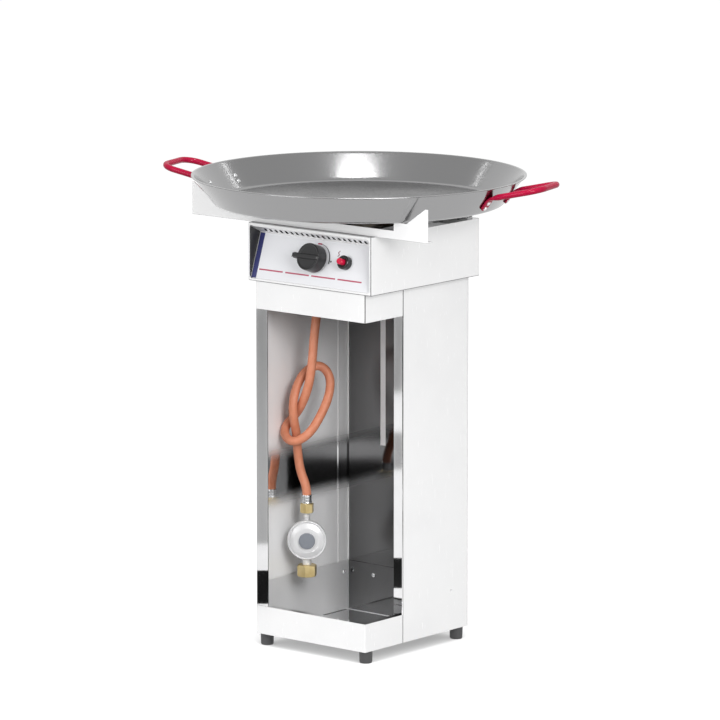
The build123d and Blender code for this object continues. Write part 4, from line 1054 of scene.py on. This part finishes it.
lamp("front_box", azimuth=2.0, elevation=65.0, distance=3.2, width=1.1, height=0.85, power=44.0)
lamp("left_strip", azimuth=-128.0, elevation=27.0, distance=3.0, width=0.03, height=1.4, power=0.9)
lamp("right_strip", azimuth=134.0, elevation=24.0, distance=3.0, width=0.03, height=1.4, power=0.9)
lamp("left_box", azimuth=-48.0, elevation=16.0, distance=3.4, width=1.6, height=1.6, power=38.0)
lamp("right_box", azimuth=20.0, elevation=20.0, distance=2.2, width=0.8, height=0.8, power=24.0)


def mirrored_only(made):
    """A stage sheet that nothing but a mirror sees, and that shades nothing."""
    made.visible_camera = made.visible_diffuse = made.visible_shadow = made.visible_transmission = False


def card(name, azimuth, corners, near_tone, far_tone, foot=0.002, head=0.002):
    """A card for mirrors. Its corners are (sideways, reach) in metres, seen along an azimuth from the front:
    two at the height of its foot, then two at its head. Its tone drifts along its reach."""
    reach_way, side_way = facing(azimuth)
    corners = np.array(corners)
    heights = np.array((foot, foot, head, head))
    points = corners[:, :1] * side_way + corners[:, 1:] * reach_way + heights[:, None] * UP
    made = stage_sheet(name, points[[[0, 1], [3, 2]]])
    finish = Finish(name, Roughness=1.0, Specular_IOR_Level=0.0)
    reach = finish.x * float(reach_way[0]) + finish.y * float(reach_way[1])
    drift = reach.fade(float(corners[:, 1].min()), float(corners[:, 1].max()))
    made.data.materials.append(finish.dress(Base_Color=finish.mix(drift, (near_tone,) * 3, (far_tone,) * 3)))
    mirrored_only(made)


# Ahead of the open corner, for the polished inside
corner_way = 40.0
card("near_card", corner_way, [(-1.2, 1.32), (1.2, 0.62), (1.2, 1.52), (-1.2, 1.30)], 0.02, 0.02)
card("far_card", corner_way, [(-3.0, 1.05), (3.0, 2.2), (3.0, 6.0), (-3.0, 6.0)], 0.02, 0.02)

# To the left, for the flanges that face the front: three lie on the floor and two stand
flange_way = -40.0
left_foot = [(0.0, 0.30), (0.036, 0.30), (0.036, 0.301), (0.0, 0.301)]
seam_foot = [(0.112, 0.16), (0.152, 0.16), (0.152, 0.161), (0.112, 0.161)]
card("left_card", flange_way, [(-0.012, 1.06), (0.024, 1.06), (-0.015, 3.95), (-0.062, 3.95)], 0.4, 0.22)
card("left_low_card", flange_way, left_foot, 0.02, 0.02, foot=0.05, head=0.112)
card("seam_card", flange_way, [(0.128, 1.65), (0.158, 1.65), (0.162, 2.07), (0.132, 2.07)], 0.3, 0.3)
card("seam_far_card", flange_way, [(0.135, 2.56), (0.165, 2.56), (0.176, 3.7), (0.144, 3.7)], 0.09, 0.06)
card("seam_low_card", flange_way, seam_foot, 0.03, 0.03, foot=0.075, head=0.131)


def canopy(tone, half_turn=130.0, low=12.0, high=86.0, radius=5.0):
    """A dim patch of a ball overhead, from side to side round the camera's end, for the inside of the pan."""
    turns, lifts = np.linspace(-half_turn, half_turn, 49), np.linspace(low, high, 13)
    turn, lift = np.radians(np.meshgrid(turns, lifts))
    flat = np.cos(turn)[..., None] * toward_camera + np.sin(turn)[..., None] * camera_right
    points = radius * (np.cos(lift)[..., None] * flat + np.sin(lift)[..., None] * UP)
    made = stage_sheet("canopy", points)
    finish = Finish("canopy", Base_Color=(0.0, 0.0, 0.0), Specular_IOR_Level=0.0, Emission_Strength=1.0)
    made.data.materials.append(finish.dress(Emission_Color=(tone,) * 3))
    mirrored_only(made)


canopy(tone=0.68)
